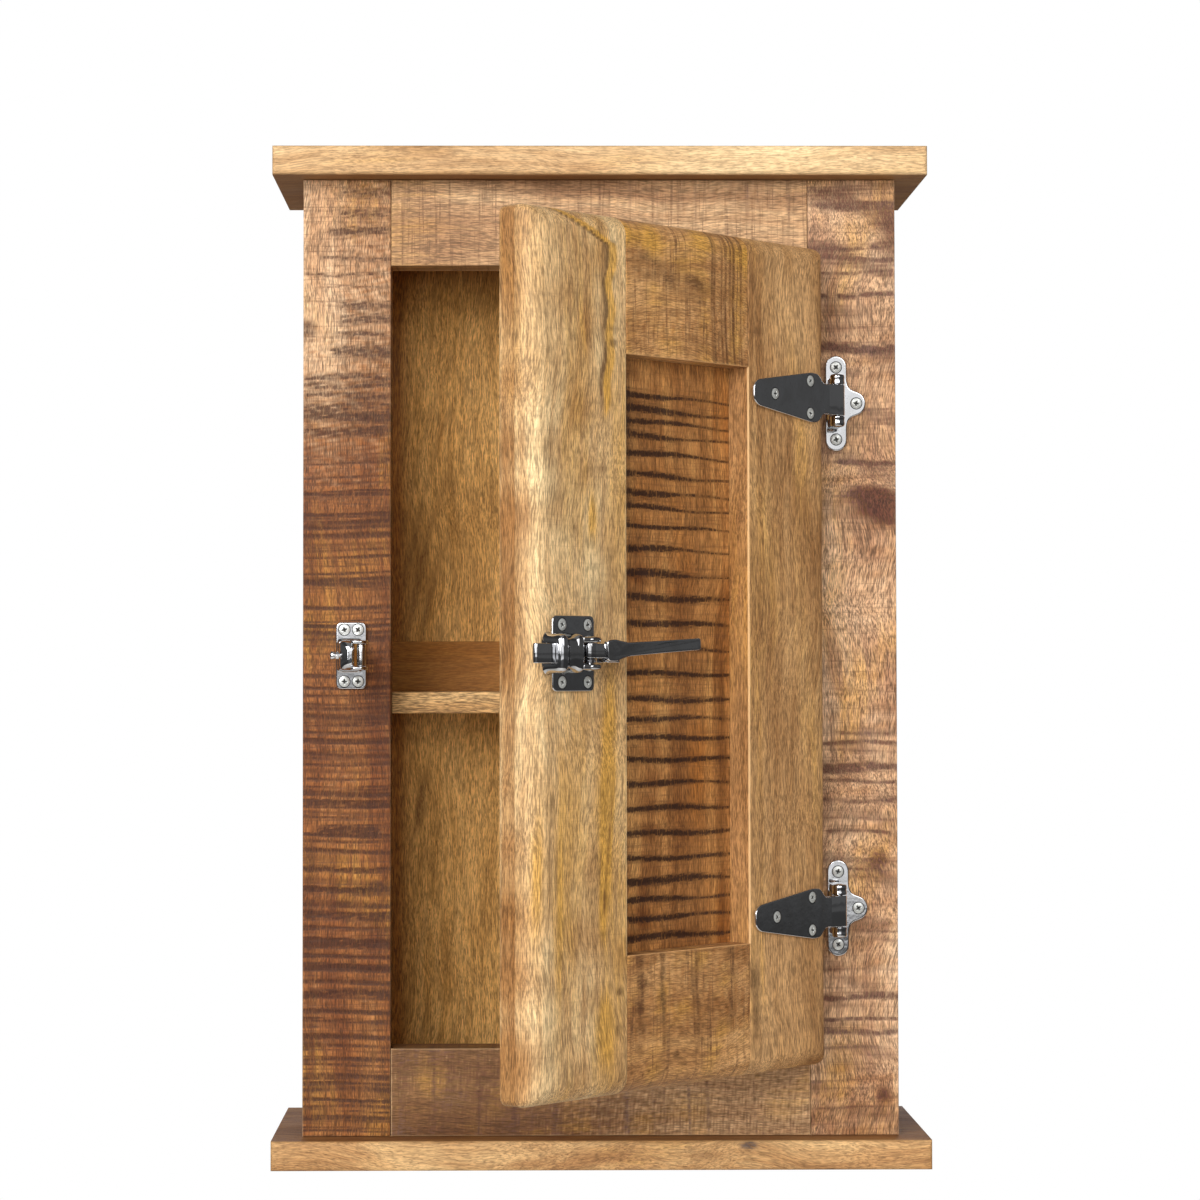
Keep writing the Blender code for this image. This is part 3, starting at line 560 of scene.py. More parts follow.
def right_marks(across, along):
    """Bars at odd places, a dark cloud by the outer edge above the middle and another near the foot."""
    own = [(0.3117, 0.0020, 0.150, 0.208, 0.6), (0.2820, 0.0014, 0.140, 0.208, 0.7),
           (0.2751, 0.0014, 0.140, 0.208, 0.7), (0.2654, 0.0012, 0.150, 0.208, 0.6),
           (0.2496, 0.0018, 0.140, 0.208, 0.8), (0.2123, 0.0030, 0.140, 0.208, 1.2),
           (0.1328, 0.0020, 0.160, 0.208, 0.8), (-0.0536, 0.0014, 0.150, 0.208, 0.6),
           (-0.0605, 0.0014, 0.140, 0.208, 0.7), (-0.0778, 0.0028, 0.140, 0.208, 1.2),
           (-0.0870, 0.0012, 0.150, 0.208, 0.6), (-0.1000, 0.0014, 0.140, 0.208, 0.7),
           (-0.1217, 0.0014, 0.150, 0.208, 0.6), (-0.2353, 0.0018, 0.140, 0.208, 0.8),
           (-0.2505, 0.0014, 0.140, 0.208, 0.7), (-0.2588, 0.0020, 0.140, 0.208, 0.8)]
    frayed = 1 + 0.5 * wander(across, along, 0.009, 26, 0.35)
    bars = 1.35 * placed(across, along, own) * frayed + 0.55 * sawn(across, along, 0.0042, 0.0010, 22)
    quiet = 1 - 0.75 * ridge(along, 0.025, 0.060)
    blots = spots(across, along, [(0.196, 0.103, 0.014, 0.007, 2.8), (0.186, 0.112, 0.016, 0.005, 1.2),
                                  (0.200, 0.094, 0.008, 0.004, 1.0),
                                  (0.192, -0.142, 0.006, 0.007, 0.9), (0.195, -0.302, 0.005, 0.006, 0.9),
                                  (0.202, 0.290, 0.010, 0.030, 0.5), (0.170, 0.318, 0.020, 0.012, 0.4)])
    clouds = 0.4 * cloudy(across, along, 0.04, 23, 0.5)
    return {"stain": quiet * (0.95 * bars + clouds) + blots,
            "depth": 0.06 + 0.20 * np.clip(-along * 3, 0, 1) + 0.30 * cloudy(across, along, 0.09, 25)
                     + 0.12 * wander(across, along, 0.025, 27, 0.4) + 0.55 * np.clip(blots, 0, 1.3),
            "gold": 0.15 + 0.3 * cloudy(across, along, 0.05, 24, 2.0)}


left_wood = timber("stile_wood_left", (226, 190, 152), (198, 154, 114), (160, 112, 80),
                   stain=(60, 28, 14), bloom=(64, 40, 32), seed=0.0,
                   shade_to=(0.50, 0.305, 0.155), ticks=0.60, grain=0.58, fleck=0.6, cover=0.86)
right_wood = timber("stile_wood_right", (232, 196, 160), (206, 164, 126), (168, 122, 90),
                    stain=(80, 42, 34), bloom=(86, 60, 60), seed=7.0, sway=0.05,
                    shade_to=(0.54, 0.37, 0.22), ticks=0.45, grain=0.64, cover=0.84)
flat_board("stile_left_board", "stile_left", left_wood, "stile_wood", left_marks, STILE_HOLLOW)
flat_board("stile_right_board", "stile_right", right_wood, "stile_wood", right_marks, STILE_HOLLOW)


# ---------------------------------------------------------------- rails of the face frame
# Two boards between the stiles, glued to them end to side, with the grain lying level. The saw left
# upright bars on them; the top one is greyish tan and golden at its left end, the bottom one darker.
RAIL_HOLLOW = 0.00018


def top_rail_marks(across, along):
    """Grey clouds to the right of the middle, gold at the left end, upright saw bars."""
    bars = sawn(across, along, 0.0105, 0.0011, 31) + 0.5 * sawn(across, along, 0.0040, 0.0008, 32)
    grey = cloudy(across, along, 0.06, 33) * ramp(along, -0.09, 0.06)
    upper = ramp(across, 0.296, 0.025) * ramp(along, -0.10, 0.08)
    return {"stain": 0.42 * bars + 0.16 * grey + 0.12 * upper,
            "depth": 0.06 + 0.16 * grey + 0.16 * upper + 0.10 * wander(across, along, 0.012, 34, 0.3),
            "gold": 0.10 + 0.22 * ridge(along, -0.14, 0.040)}


def bottom_rail_marks(across, along):
    """Deep all over, darkest in the left half, with upright saw bars that the right half shows best."""
    bars = sawn(across, along, 0.0160, 0.0016, 41) + 0.7 * sawn(across, along, 0.0048, 0.0009, 42)
    pool = np.clip(0.62 + 0.4 * wander(across, along, 0.05, 43), 0, 1)
    left = ramp(along, 0.06, -0.12)
    speckle = wander(across, along, 0.006, 45, 0.5)
    return {"stain": 0.55 * bars + 0.36 * left * pool + 0.08 + 0.14 * speckle,
            "depth": 0.30 + 0.80 * left + 0.22 * speckle,
            "gold": 0.12 + 0.2 * cloudy(across, along, 0.04, 44)}


rail_finish = {"pale": (218, 180, 136), "body": (192, 151, 110), "deep": (158, 116, 80), "lying": True,
               "ticks": 0.62, "stain": (92, 58, 44), "bloom": (102, 78, 70), "grain": 0.50}
bottom_rail_finish = rail_finish | {"grain": 0.42, "ticks": 0.50, "shade_to": (0.40, 0.31, 0.225)}
flat_board("rail_top_board", "rail_top", timber("rail_wood_top", seed=13.0, fleck=0.28, **rail_finish),
           "rail_wood", top_rail_marks, RAIL_HOLLOW, axes=(2, 1, 0))
flat_board("rail_bottom_board", "rail_bottom",
           timber("rail_wood_bottom", seed=17.0, fleck=0.45, **bottom_rail_finish),
           "rail_wood", bottom_rail_marks, RAIL_HOLLOW, axes=(2, 1, 0), wear_and_highlight=0.8)


# ---------------------------------------------------------------- top and bottom plates
# Boards that stand proud of the body at the front and sides, planed, with their arrises rubbed round.
# Their long edges are light honey; their broad faces, ends and backs are darker and greyer.
PLATE_EASE, PLATE_HOLLOW = 0.0028, 0.0002


def plate_marks(knots, shift):
    """Marks of a plate's long edge, across being height: clear wood with warm clouds and the knots named."""
    def marks(across, along):
        dark = spots(across, along, knots)
        return {"depth": 0.10 + 0.14 * wander(across, along, 0.05, shift, 2.5) + 0.5 * dark,
                "stain": dark + 0.10 * cloudy(across, along, 0.02, shift + 1, 3.0),
                "gold": 0.04 + 0.20 * cloudy(across, along, 0.05, shift + 2, 2.0)}
    return marks


plate_finish = {"pale": (234, 202, 154), "body": (214, 177, 130), "deep": (188, 144, 96), "lying": True,
                "fleck": 0.42, "ticks": 0.0, "bloom": (84, 80, 80), "stain": (96, 70, 48), "grain": 0.34}
# The bottom plate's darker pale, body and deep colours are painted shade, for the light that falls off towards
# the bottom of the cabinet.
bottom_plate_finish = plate_finish | {"pale": (222, 182, 128), "body": (192, 147, 97),
                                      "deep": (160, 112, 68), "fleck": 0.55, "sway": 0.045}
plate_rings = (PLATE_EASE + 0.0002, *np.linspace(0.006, 0.172, 14), 0.1790)
darker_rim = {"depth": 0.92, "stain": 0.30, "gold": 0.20}
plate_form = {"axes": (2, 1, 0), "spacing": (0.0016, 0.0016), "ease": PLATE_EASE, "rim": darker_rim,
              "rim_from": 0.0015, "rings": plate_rings}
top_knots = [(0.3365, -0.10, 0.0015, 0.012, 0.3)]
bottom_knots = [(-0.3330, 0.1000, 0.0022, 0.0050, 1.4), (-0.3400, 0.0700, 0.0040, 0.0120, 0.35),
                (-0.3450, -0.0500, 0.0020, 0.0200, 0.25)]
flat_board("top_plate_board", "top_plate", timber("plate_wood_top", seed=21.0, **plate_finish), "plate_wood",
           plate_marks(top_knots, 51), PLATE_HOLLOW, wear_and_highlight=0.12, **plate_form)
flat_board("bottom_plate_board", "bottom_plate",
           timber("plate_wood_bottom", seed=25.0, **bottom_plate_finish), "plate_wood",
           plate_marks(bottom_knots, 55), PLATE_HOLLOW, wear_and_highlight=0.05, **plate_form)


# ---------------------------------------------------------------- sides, back, shelf and its cleats
# The box behind the face frame: two plain sides, a thin back panel with an upright cathedral figure, a
# rail screwed over it, and a loose shelf on two square cleats.
def cathedral_marks(across, along):
    """Pointed arches of dark late wood one above the other, as a flat-sawn board shows them, and painted shade
    along the left side and under the top, where the left stile and the top rail shade the back panel."""
    middle = -0.115 + 0.010 * np.sin(along * 9)
    arch = np.abs(across - middle) * 5.2 + along * 1.35 + 0.02 * wander(across, along, 0.05, 61, 3)
    rings = 0.5 + 0.5 * np.sin(arch * 2 * np.pi / 0.075)
    # Painted shade: the back is darkened along its left side and under the top rail, where the left stile and
    # the top rail shade it.
    corner = np.exp(-np.clip(across + 0.144, 0, 1) / 0.007) + np.exp(-np.clip(0.290 - along, 0, 1) / 0.012)
    tongues = spots(across, along, [(-0.128, -0.110, 0.004, 0.020, 0.6), (-0.130, 0.06, 0.012, 0.05, 0.4)])
    return {"stain": 0.42 * rings ** 3 * ridge(across, middle, 0.06) + tongues,
            "depth": 0.02 + 0.9 * corner, "gold": np.full_like(across, 0.05)}


def plain_marks(depth):
    """The same depth all over and no stain."""
    def marks(across, along):
        return {"depth": np.full_like(across, depth), "gold": np.full_like(across, 0.15),
                "stain": np.zeros_like(across)}
    return marks


side_finish = {"pale": (218, 178, 134), "body": (190, 146, 104), "deep": (152, 108, 72), "seed": 31.0}
side_wood = timber("side_wood", ticks=0.35, **side_finish)
for side in ("left", "right"):
    board = frame["nodes"]["side_" + side]
    board.data.materials.clear()
    board.data.materials.append(side_wood)
back_finish = {"pale": (238, 186, 112), "body": (220, 166, 92), "deep": (192, 138, 68), "sway": 0.02}
flat_board("back_panel_board", "back_panel",
           timber("back_wood_panel", seed=37.0, fleck=0.6, ticks=0.05, grain=0.50, stain=(104, 66, 32),
                  bloom=(108, 72, 38), **back_finish),
           "back_wood", cathedral_marks, 0.0, spacing=(0.003, 0.004), wear_and_highlight=0.0)
# The back rail is deep all over: partly its own darker brown, partly painted shade inside the cabinet.
flat_board("back_rail_board", "back_rail",
           timber("back_wood_rail", seed=41.0, lying=True, fleck=0.2, ticks=0.0, grain=0.25, **back_finish),
           "back_wood", plain_marks(0.74), 0.0, axes=(2, 1, 0), wear_and_highlight=0.1)
shelf_wood = timber("shelf_wood", (232, 194, 138), (206, 162, 106), (168, 124, 74), seed=45.0, lying=True,
                    fleck=0.6, ticks=0.0)
flat_board("shelf_board", "shelf", shelf_wood, "shelf_wood", plain_marks(0.28), 0.0, axes=(1, 2, 0),
           spacing=(0.003, 0.003), wear_and_highlight=0.3)
cleat_wood = timber("cleat_wood", (226, 188, 138), (200, 156, 108), (166, 122, 80), seed=49.0)
for side in ("left", "right"):
    flat_board(f"shelf_cleat_{side}_strip", f"shelf_cleat_{side}", cleat_wood, "shelf_wood",
               plain_marks(0.1), 0.0, axes=(2, 0, 1), spacing=(0.003, 0.003), wear_and_highlight=0.3)


# ---------------------------------------------------------------- door stiles
# The door's uprights: thick golden boards whose outer edges are turned over in a large quarter round. A
# groove in the inner edge, stopped short of both ends, holds the panel and the rails' stub tenons.
door_joint = next(joint for joint in frame["joints"] if joint["name"] == "door_hinge")
DOOR_PIN = Vector(door_joint["pos_m"])
DOOR_OPEN = -math.radians(door_joint["range_deg"][0])
DOOR_ROUND, DOOR_CORNER, SEAM_EASE = 0.014, 0.006, 0.0007
DOOR_STILE_HOLLOW, DOOR_UNEVEN = 0.00012, 0.00010
GROOVE_DEEP, GROOVE_SLACK, GROOVE_STOP, GROOVE_ARRIS = 0.0083, 0.0003, 0.040, 0.0012


def door_box(node):
    """Lowest and highest corner of a door node in the door's own axes: x from the hinge pin towards the
    pin's far side, y from the door's front plane back, z up, as the door is when it is shut."""
    mesh = frame["nodes"][node].data
    points = np.empty(len(mesh.vertices) * 3, np.float32)
    mesh.vertices.foreach_get("co", points)
    turned = (points.reshape(-1, 3) - np.array(DOOR_PIN)) @ np.array(Matrix.Rotation(DOOR_OPEN, 3, "Z"))
    return turned.min(0), turned.max(0)


def on_door(points):
    """Points in the door's own axes, turned with the open door into the cabinet's."""
    return np.asarray(points) @ np.array(Matrix.Rotation(DOOR_OPEN, 3, "Z")).T + np.array(DOOR_PIN)


stile_boxes = {name: door_box(name) for name in ("door_stile_latch", "door_stile_hinge")}
panel_low, panel_high = door_box("door_panel")
blank_low = np.array(stile_boxes["door_stile_latch"][0])
blank_high = np.array(stile_boxes["door_stile_hinge"][1])
DOOR_THICK = blank_high[1]
opening_free = stile_boxes["door_stile_latch"][1][0]
opening_hinged = stile_boxes["door_stile_hinge"][0][0]


def door_faces(x, z, own_low, own_high):
    """Depths of a door member's front and back. The front rounds over towards the door's outline, and both
    are eased at the member's own inner edges."""
    outline = edge_distance(x, z, blank_low[[0, 2]], blank_high[[0, 2]], DOOR_CORNER)
    own = edge_distance(x, z, own_low, own_high, 0.0)
    front = np.maximum(eased(outline, DOOR_ROUND), eased(own, SEAM_EASE))
    back = DOOR_THICK - np.maximum(eased(outline, BOARD_EASE), eased(own, SEAM_EASE))
    return front, back, outline, own


def grooved(inner, into_wood, stop=np.inf):
    """Rings for a door member's rim: on the inner edge, between the stops, they run into the wood by the
    depth of the panel's groove."""
    def wall(a, l, near, far):
        deep = into_wood * GROOVE_DEEP * (np.abs(a - inner) < 1e-6) * (np.abs(l) < stop)
        ahead = np.full_like(a, panel_low[1] - GROOVE_SLACK)
        behind = np.full_like(a, panel_high[1] + GROOVE_SLACK)
        arris = np.minimum(near + GROOVE_ARRIS, ahead)
        return [(arris, a, l), (ahead, a, l), (ahead, a + deep, l), (behind, a + deep, l), (behind, a, l)]
    return wall


def latch_stile_marks(x, z):
    """A dark vein wanders down from the top edge with a yellow streak beside it; grey-green and yellow streaks
    follow below, and the round of the outer edge is painted paler, a painted highlight that weakens lower down."""
    vein = -0.2485 + 0.0035 * np.sin(z * 34 + 0.6) + 0.010 * np.clip(z - 0.235, 0, 1) / 0.04
    vein = vein - 0.055 * np.clip(z - 0.258, 0, 1) / 0.02 + 0.0012 * np.sin(z * 210)
    top = ramp(z, 0.146, 0.02)
    dark = ridge(x, vein, 0.0011 + 0.0005 * np.sin(z * 150)) * top * 1.4
    dark = dark + 0.35 * ridge(x - vein, -0.0022, 0.0024) * top
    beside = ridge(x - vein, 0.0048, 0.0034) * top
    bow = -0.2435 + 0.0048 * np.sin((z + 0.125) * 30)
    low = ramp(z, -0.185, 0.03) * ramp(z, -0.060, -0.02)
    thread = ridge(x, bow, 0.0010) * low
    around = ridge(x - bow, -0.0012, 0.0030) * low
    heart = ridge(x, -0.268, 0.014) * ramp(z, 0.06, 0.08)
    side_edge = ramp(x, -0.3105, -0.0035)
    dirt = spots(x, z, [(-0.2380, 0.196, 0.004, 0.003, 0.9), (-0.2480, 0.116, 0.007, 0.003, 0.6),
                        (-0.2760, 0.078, 0.003, 0.003, 0.8), (-0.2460, -0.155, 0.003, 0.008, 0.5),
                        (-0.2330, -0.212, 0.003, 0.003, 0.9), (-0.2345, -0.236, 0.002, 0.005, 0.8),
                        (-0.2420, 0.050, 0.006, 0.030, 0.35), (-0.2370, 0.205, 0.010, 0.002, 0.6)])
    lines = 0.25 * sawn(x, z, 0.009, 0.0008, 81) * ramp(x, -0.262, 0.02)
    gold = spots(x, z, [(-0.2465, -0.110, 0.006, 0.055, 0.9), (-0.2480, -0.235, 0.009, 0.022, 0.8),
                        (-0.2580, 0.085, 0.004, 0.014, 0.8), (-0.2410, -0.040, 0.006, 0.030, 0.7),
                        (-0.3080, -0.130, 0.004, 0.050, 0.7), (-0.2900, -0.160, 0.004, 0.060, 0.4)])
    olive = spots(x, z, [(-0.2440, -0.100, 0.003, 0.040, 0.30), (-0.2530, 0.040, 0.006, 0.040, 0.30),
                         (-0.2650, 0.020, 0.004, 0.080, 0.22), (-0.2430, -0.232, 0.006, 0.014, 0.28)])
    # Painted highlight: the round of the outer edge, which faces the light, is made paler, less gold and less
    # deep, and less so lower down.
    clear = ridge(x, -0.306, 0.011) * (0.55 + 0.45 * ramp(z, -0.15, 0.25))
    return {"stain": 1.1 * dark + dirt + lines + olive + 0.55 * thread,
            "gold": 0.28 + 1.2 * beside + gold + 0.9 * around + 0.15 * wander(x, z, 0.04, 82, 4.0)
                    - 0.35 * clear,
            "depth": 0.28 - 0.24 * clear + 0.10 * np.clip(-z * 5, 0, 1) + 0.26 * heart + 0.34 * side_edge
                     + 0.12 * wander(x, z, 0.06, 83, 3.0) + 0.10 * wander(x, z, 0.014, 84, 3.0)}


def hinge_stile_marks(x, z):
    """Grey-brown with olive streaks near the hinge edge, faint level scratches, and a dark smudge at the
    joint with the bottom rail."""
    smudge = spots(x, z, [(-0.0945, -0.213, 0.006, 0.010, 0.9), (-0.0930, -0.238, 0.004, 0.016, 0.8),
                          (-0.0890, 0.215, 0.008, 0.004, 0.5), (-0.0940, 0.250, 0.003, 0.012, 0.5)])
    olive = ridge(x, -0.030, 0.007) + 0.6 * ridge(x, -0.050, 0.004)
    scratches = 0.22 * sawn(x, z, 0.012, 0.0010, 85)
    return {"stain": smudge + scratches + 0.30 * olive * cloudy(x, z, 0.03, 86, 8),
            "gold": 0.15 + 0.15 * wander(x, z, 0.04, 87, 5.0),
            "depth": 0.38 + 0.14 * wander(x, z, 0.05, 88, 4.0)}


door_grain = {"door": (DOOR_PIN, DOOR_OPEN), "stain": (84, 50, 28), "bloom": (96, 70, 42), "sway": 0.03,
              "gold": (212, 158, 66), "grain": 0.50}
door_finishes = {
    "door_stile_latch": timber("door_stile_wood_latch", (240, 212, 162), (221, 183, 132), (188, 146, 94),
                               seed=61.0, fleck=0.35, ticks=0.18, **door_grain),
    "door_stile_hinge": timber("door_stile_wood_hinge", (230, 186, 132), (206, 161, 108), (172, 125, 76),
                               seed=67.0, fleck=0.4, ticks=0.12, **door_grain),
}
for name, marks in (("door_stile_latch", latch_stile_marks), ("door_stile_hinge", hinge_stile_marks)):
    low, high = stile_boxes[name]
    outer_is_low = name == "door_stile_latch"
    inner, outer = (high[0], low[0]) if outer_is_low else (low[0], high[0])
    into_wood = -1 if outer_is_low else 1
    eases = (DOOR_ROUND, SEAM_EASE) if outer_is_low else (SEAM_EASE, DOOR_ROUND)
    x, z = np.meshgrid(ruled(low[0], high[0], 0.0018, *eases),
                       ruled(low[2], high[2], 0.0014, DOOR_ROUND, DOOR_ROUND), indexing="ij")
    past = np.clip(np.abs(z) - (high[2] - DOOR_CORNER), 0, DOOR_CORNER)
    tuck = DOOR_CORNER - np.sqrt(DOOR_CORNER ** 2 - past ** 2)
    x = x - tuck * (x - inner) / abs(outer - inner)
    own_low = (low[0] - (0.1 if outer_is_low else 0), low[2] - 0.1)
    own_high = (high[0] + (0 if outer_is_low else 0.1), high[2] + 0.1)
    front, back, outline, own = door_faces(x, z, own_low, own_high)
    values = marks(x, z)
    # Lighter along the inner arrises: worn wood, and partly a painted highlight where the eased arris catches
    # the light.
    values["wear_and_highlight"] = 1.1 * np.exp(-own / 0.0010) * (np.abs(z) < 0.19)
    calm = np.clip(np.minimum(outline, own) / 0.003, 0, 1)
    uneven = DOOR_UNEVEN * (1 + wander(x, z, 0.03, 89, 2))
    front = front + calm * (DOOR_STILE_HOLLOW * np.clip(values["stain"], 0, 1) + uneven)

    skin, faces, source = board_skin(x, z, front, back, grooved(inner, into_wood, high[2] - GROOVE_STOP))
    marked = on_skin(values, source)
    marked["depth"][x.size:-x.size] += 0.30
    add_piece(name + "_board", on_door(skin), faces, door_finishes[name], "door", "door_stile_wood", [name],
              **marked)


# ---------------------------------------------------------------- door rails
# The door's level boards, between the stiles: brown, with the saw's upright bars, their outer edges turned
# over like the stiles'. The panel's groove runs along the whole inner edge.
DOOR_RAIL_HOLLOW = 0.00016


def top_door_rail_marks(z, x):
    """A mottled dark cloud hangs below the round of the edge, and close bars stand at the hinge end."""
    bars = sawn(z, x, 0.0050, 0.0009, 91, slant=0.02) * (0.35 + 1.3 * ramp(x, -0.155, 0.03))
    cloud = spots(z, x, [(0.243, -0.175, 0.012, 0.030, 0.55), (0.238, -0.150, 0.008, 0.014, 0.5),
                         (0.250, -0.205, 0.010, 0.014, 0.45)]) * (1 + 0.8 * wander(z, x, 0.012, 92))
    return {"stain": 0.95 * bars + 0.75 * cloud, "depth": 0.34 + 0.2 * wander(z, x, 0.05, 93, 3.0)
                     + 0.12 * wander(z, x, 0.010, 90, 0.4),
            "gold": 0.20 + 0.34 * ridge(z, 0.265, 0.008) + 0.2 * wander(z, x, 0.03, 94)}


def bottom_door_rail_marks(z, x):
    """Groups of dark upright streaks, two small knot holes and a crack over the pale lower round."""
    groups = ridge(x, -0.212, 0.006) + ridge(x, -0.190, 0.004) \
        + 0.7 * ridge(x, -0.155, 0.005) + 0.6 * ridge(x, -0.118, 0.008)
    bars = sawn(z, x, 0.0052, 0.0008, 95, slant=0.02)
    fade = ramp(z, -0.262, 0.02)
    holes = spots(z, x, [(-0.2245, -0.2115, 0.0016, 0.0022, 2.2), (-0.2560, -0.1760, 0.0020, 0.0022, 2.0),
                         (-0.2080, -0.2060, 0.0012, 0.0012, 1.2)])
    crack = ridge(z + 0.2655, 0.003 * np.cos((x + 0.195) * 120), 0.0006)
    crack = crack * (np.abs(x + 0.196) < 0.014)
    uneven = 0.7 + 0.5 * wander(z, x, 0.02, 96, 0.4)
    return {"stain": fade * (0.50 * bars + 0.75 * groups * uneven) + holes + crack,
            "depth": 0.38 + 0.15 * wander(z, x, 0.05, 97, 3.0) - 0.22 * (1 - fade)
                     + 0.10 * wander(z, x, 0.010, 100, 0.4),
            "gold": 0.15 + 0.2 * wander(z, x, 0.03, 98)}


opening_top = panel_high[2] - (GROOVE_DEEP - GROOVE_SLACK - 0.001)
door_rail_finish = {"pale": (224, 174, 118), "body": (196, 146, 92), "deep": (162, 112, 66), "lying": True,
                    "fleck": 0.4, "ticks": 0.80, "grain": 0.42}
for name, sign, marks, seed in (("door_rail_top", 1, top_door_rail_marks, 71.0),
                                ("door_rail_bottom", -1, bottom_door_rail_marks, 77.0)):
    inner, outer = sign * opening_top, (blank_high[2] if sign > 0 else blank_low[2])
    low_z, high_z = sorted((inner, outer))
    eases = (SEAM_EASE, DOOR_ROUND) if sign > 0 else (DOOR_ROUND, SEAM_EASE)
    low_x, high_x = opening_free + GROOVE_SLACK, opening_hinged - GROOVE_SLACK
    z, x = np.meshgrid(ruled(low_z, high_z, 0.0020, *eases), ruled(low_x, high_x, 0.0010), indexing="ij")
    front, back, outline, own = door_faces(x, z, (low_x, low_z if sign > 0 else low_z - 0.1),
                                           (high_x, high_z + 0.1 if sign > 0 else high_z))
    values = marks(z, x)
    # Lighter along the inner edge: worn wood, and partly a painted highlight where the arris catches the light.
    values["wear_and_highlight"] = 0.8 * np.exp(-np.abs(z - inner) / 0.0012)
    calm = np.clip(np.minimum(outline, own) / 0.003, 0, 1)
    uneven = DOOR_UNEVEN * (1 + wander(z, x, 0.03, 99))
    front = front + calm * (DOOR_RAIL_HOLLOW * np.clip(values["stain"], 0, 2) + uneven)

    skin, faces, source = board_skin(z, x, front, back, grooved(inner, sign))
    wood = timber(name + "_wood", seed=seed, **(door_grain | door_rail_finish))
    add_piece(name + "_board", on_door(skin[:, [2, 1, 0]]), faces, wood, "door", "door_rail_wood", [name],
              **on_skin(values, source))


# ---------------------------------------------------------------- door panel
# A thin upright board let into the grooves of stiles and rails, stained reddish brown. The saw left it
# with strong level bars, evenly spaced, darkest on the latch side and fading towards the hinges.
PANEL_TOP_BAR, PANEL_HOLLOW = 0.1676, 0.0004
PANEL_GAPS = (9.5, 7.5, 9.0, 11.5, 14.0, 11.5, 9.5, 12.0, 14.5, 16.5, 15.0, 16.5, 16.5, 16.0, 17.0, 12.0,
              12.5, 14.0, 15.0, 16.5, 16.0, 16.0, 14.0, 12.5, 11.5, 12.5)


def panel_marks(x, z):
    """Straight level bars whose gaps, in millimetres from the top one down, the saw's feed set. Each has
    its own strength and fades towards the hinges into thin reddish lines; a reddish band stands near the
    hinge side low down and a bluish one near the latch side at the top."""
    rng = np.random.default_rng(106)
    heights = PANEL_TOP_BAR - np.cumsum((0.0,) + PANEL_GAPS) / 1000
    dark = ramp(x, -0.100, -0.060)
    strong, thin = np.zeros_like(x), np.zeros_like(x)
    for height in heights:
        power, half, end = rng.uniform(0.80, 1.40), rng.uniform(0.0011, 0.0020), rng.uniform(-0.15, -0.09)
        bent = z - height + 0.0007 * np.sin(x * 60 + height * 300) + 0.012 * (x + 0.225)
        reach = ramp(x, end, -0.030)
        strong += power * (0.34 + 0.66 * reach) * np.exp(-(bent / half) ** 2)
        strong += 0.22 * power * reach * np.exp(-(bent / 0.0042) ** 2)
        thin += 1.3 * np.exp(-(bent / 0.0008) ** 2)
    ragged = 1 + 0.40 * wander(x, z, 0.006, 103, 0.3)
    hair = sawn(x, z, 0.0036, 0.0006, 102)
    band = ridge(x, -0.108, 0.006) * ramp(z, 0.03, -0.06)
    blue = 0.40 * ridge(x, -0.204, 0.004) * ramp(z, 0.05, 0.05)
    return {"stain": 1.15 * strong * ragged * (0.5 + 0.5 * dark) + 0.40 * thin
                     + (0.20 + 0.25 * dark) * hair + blue + 0.30 * band,
            "depth": 0.12 + 0.34 * dark * (0.5 + 0.5 * wander(x, z, 0.03, 107, 0.3)) + 0.45 * band
                     + 0.16 * wander(x, z, 0.07, 104),
            "gold": 0.14 + 0.26 * wander(x, z, 0.05, 105, 2.0)}


x, z = np.meshgrid(ruled(panel_low[0], panel_high[0], 0.0020), ruled(panel_low[2], panel_high[2], 0.0009),
                   indexing="ij")
values = panel_marks(x, z)
values["wear_and_highlight"] = np.zeros_like(x)
inside = edge_distance(x, z, panel_low[[0, 2]], panel_high[[0, 2]])
front = panel_low[1] + eased(inside, BOARD_EASE)
front = front + np.clip(inside / 0.003, 0, 1) * PANEL_HOLLOW * np.clip(values["stain"], 0, 1)
skin, faces, source = board_skin(x, z, front, panel_high[1] - eased(inside, BOARD_EASE))
panel_stains = {"stain": (44, 24, 18), "bloom": (50, 32, 28), "gold": (186, 112, 40)}
panel_wood = timber("door_panel_wood", (214, 158, 92), (184, 128, 72), (142, 90, 46), seed=83.0, fleck=0.5,
                    ticks=0.45, cover=0.93, **(door_grain | panel_stains))
add_piece("door_panel_board", on_door(skin), faces, panel_wood, "door", "door_panel_wood", ["door_panel"],
          **on_skin(values, source))


# ---------------------------------------------------------------- hinge plates and pins
# Cast plates on the right stile, chromed: a round-ended bar with a lobe at its right for a third screw.
# Two barrels stand out from the bar on short webs and carry the pin, whose ends are riveted over.
PLATE_BACK, PLATE_FRONT, PLATE_ROUND = 0.0003, 0.0028, 0.0008
HEAD_WIDE, SHANK_WIDE, PIN_WIDE, BORE_WIDE = 0.0041, 0.0021, 0.0020, 0.0023
EAR_LOW, EAR_HIGH = 0.0108, 0.0180
AROUND, ROUGH_CAST = 40, 0.00009


def arc(a, b, radius, start, end, count=14):
    """Points on a circle round (a, b) between two angles in degrees."""
    turn = np.radians(np.linspace(start, end, count))
    return np.stack([a + radius * np.cos(turn), b + radius * np.sin(turn)], -1)


def ring(a, b, radius, count=32):
    """A whole circle of points."""
    return arc(a, b, radius, 0, 360 - 360 / count, count)


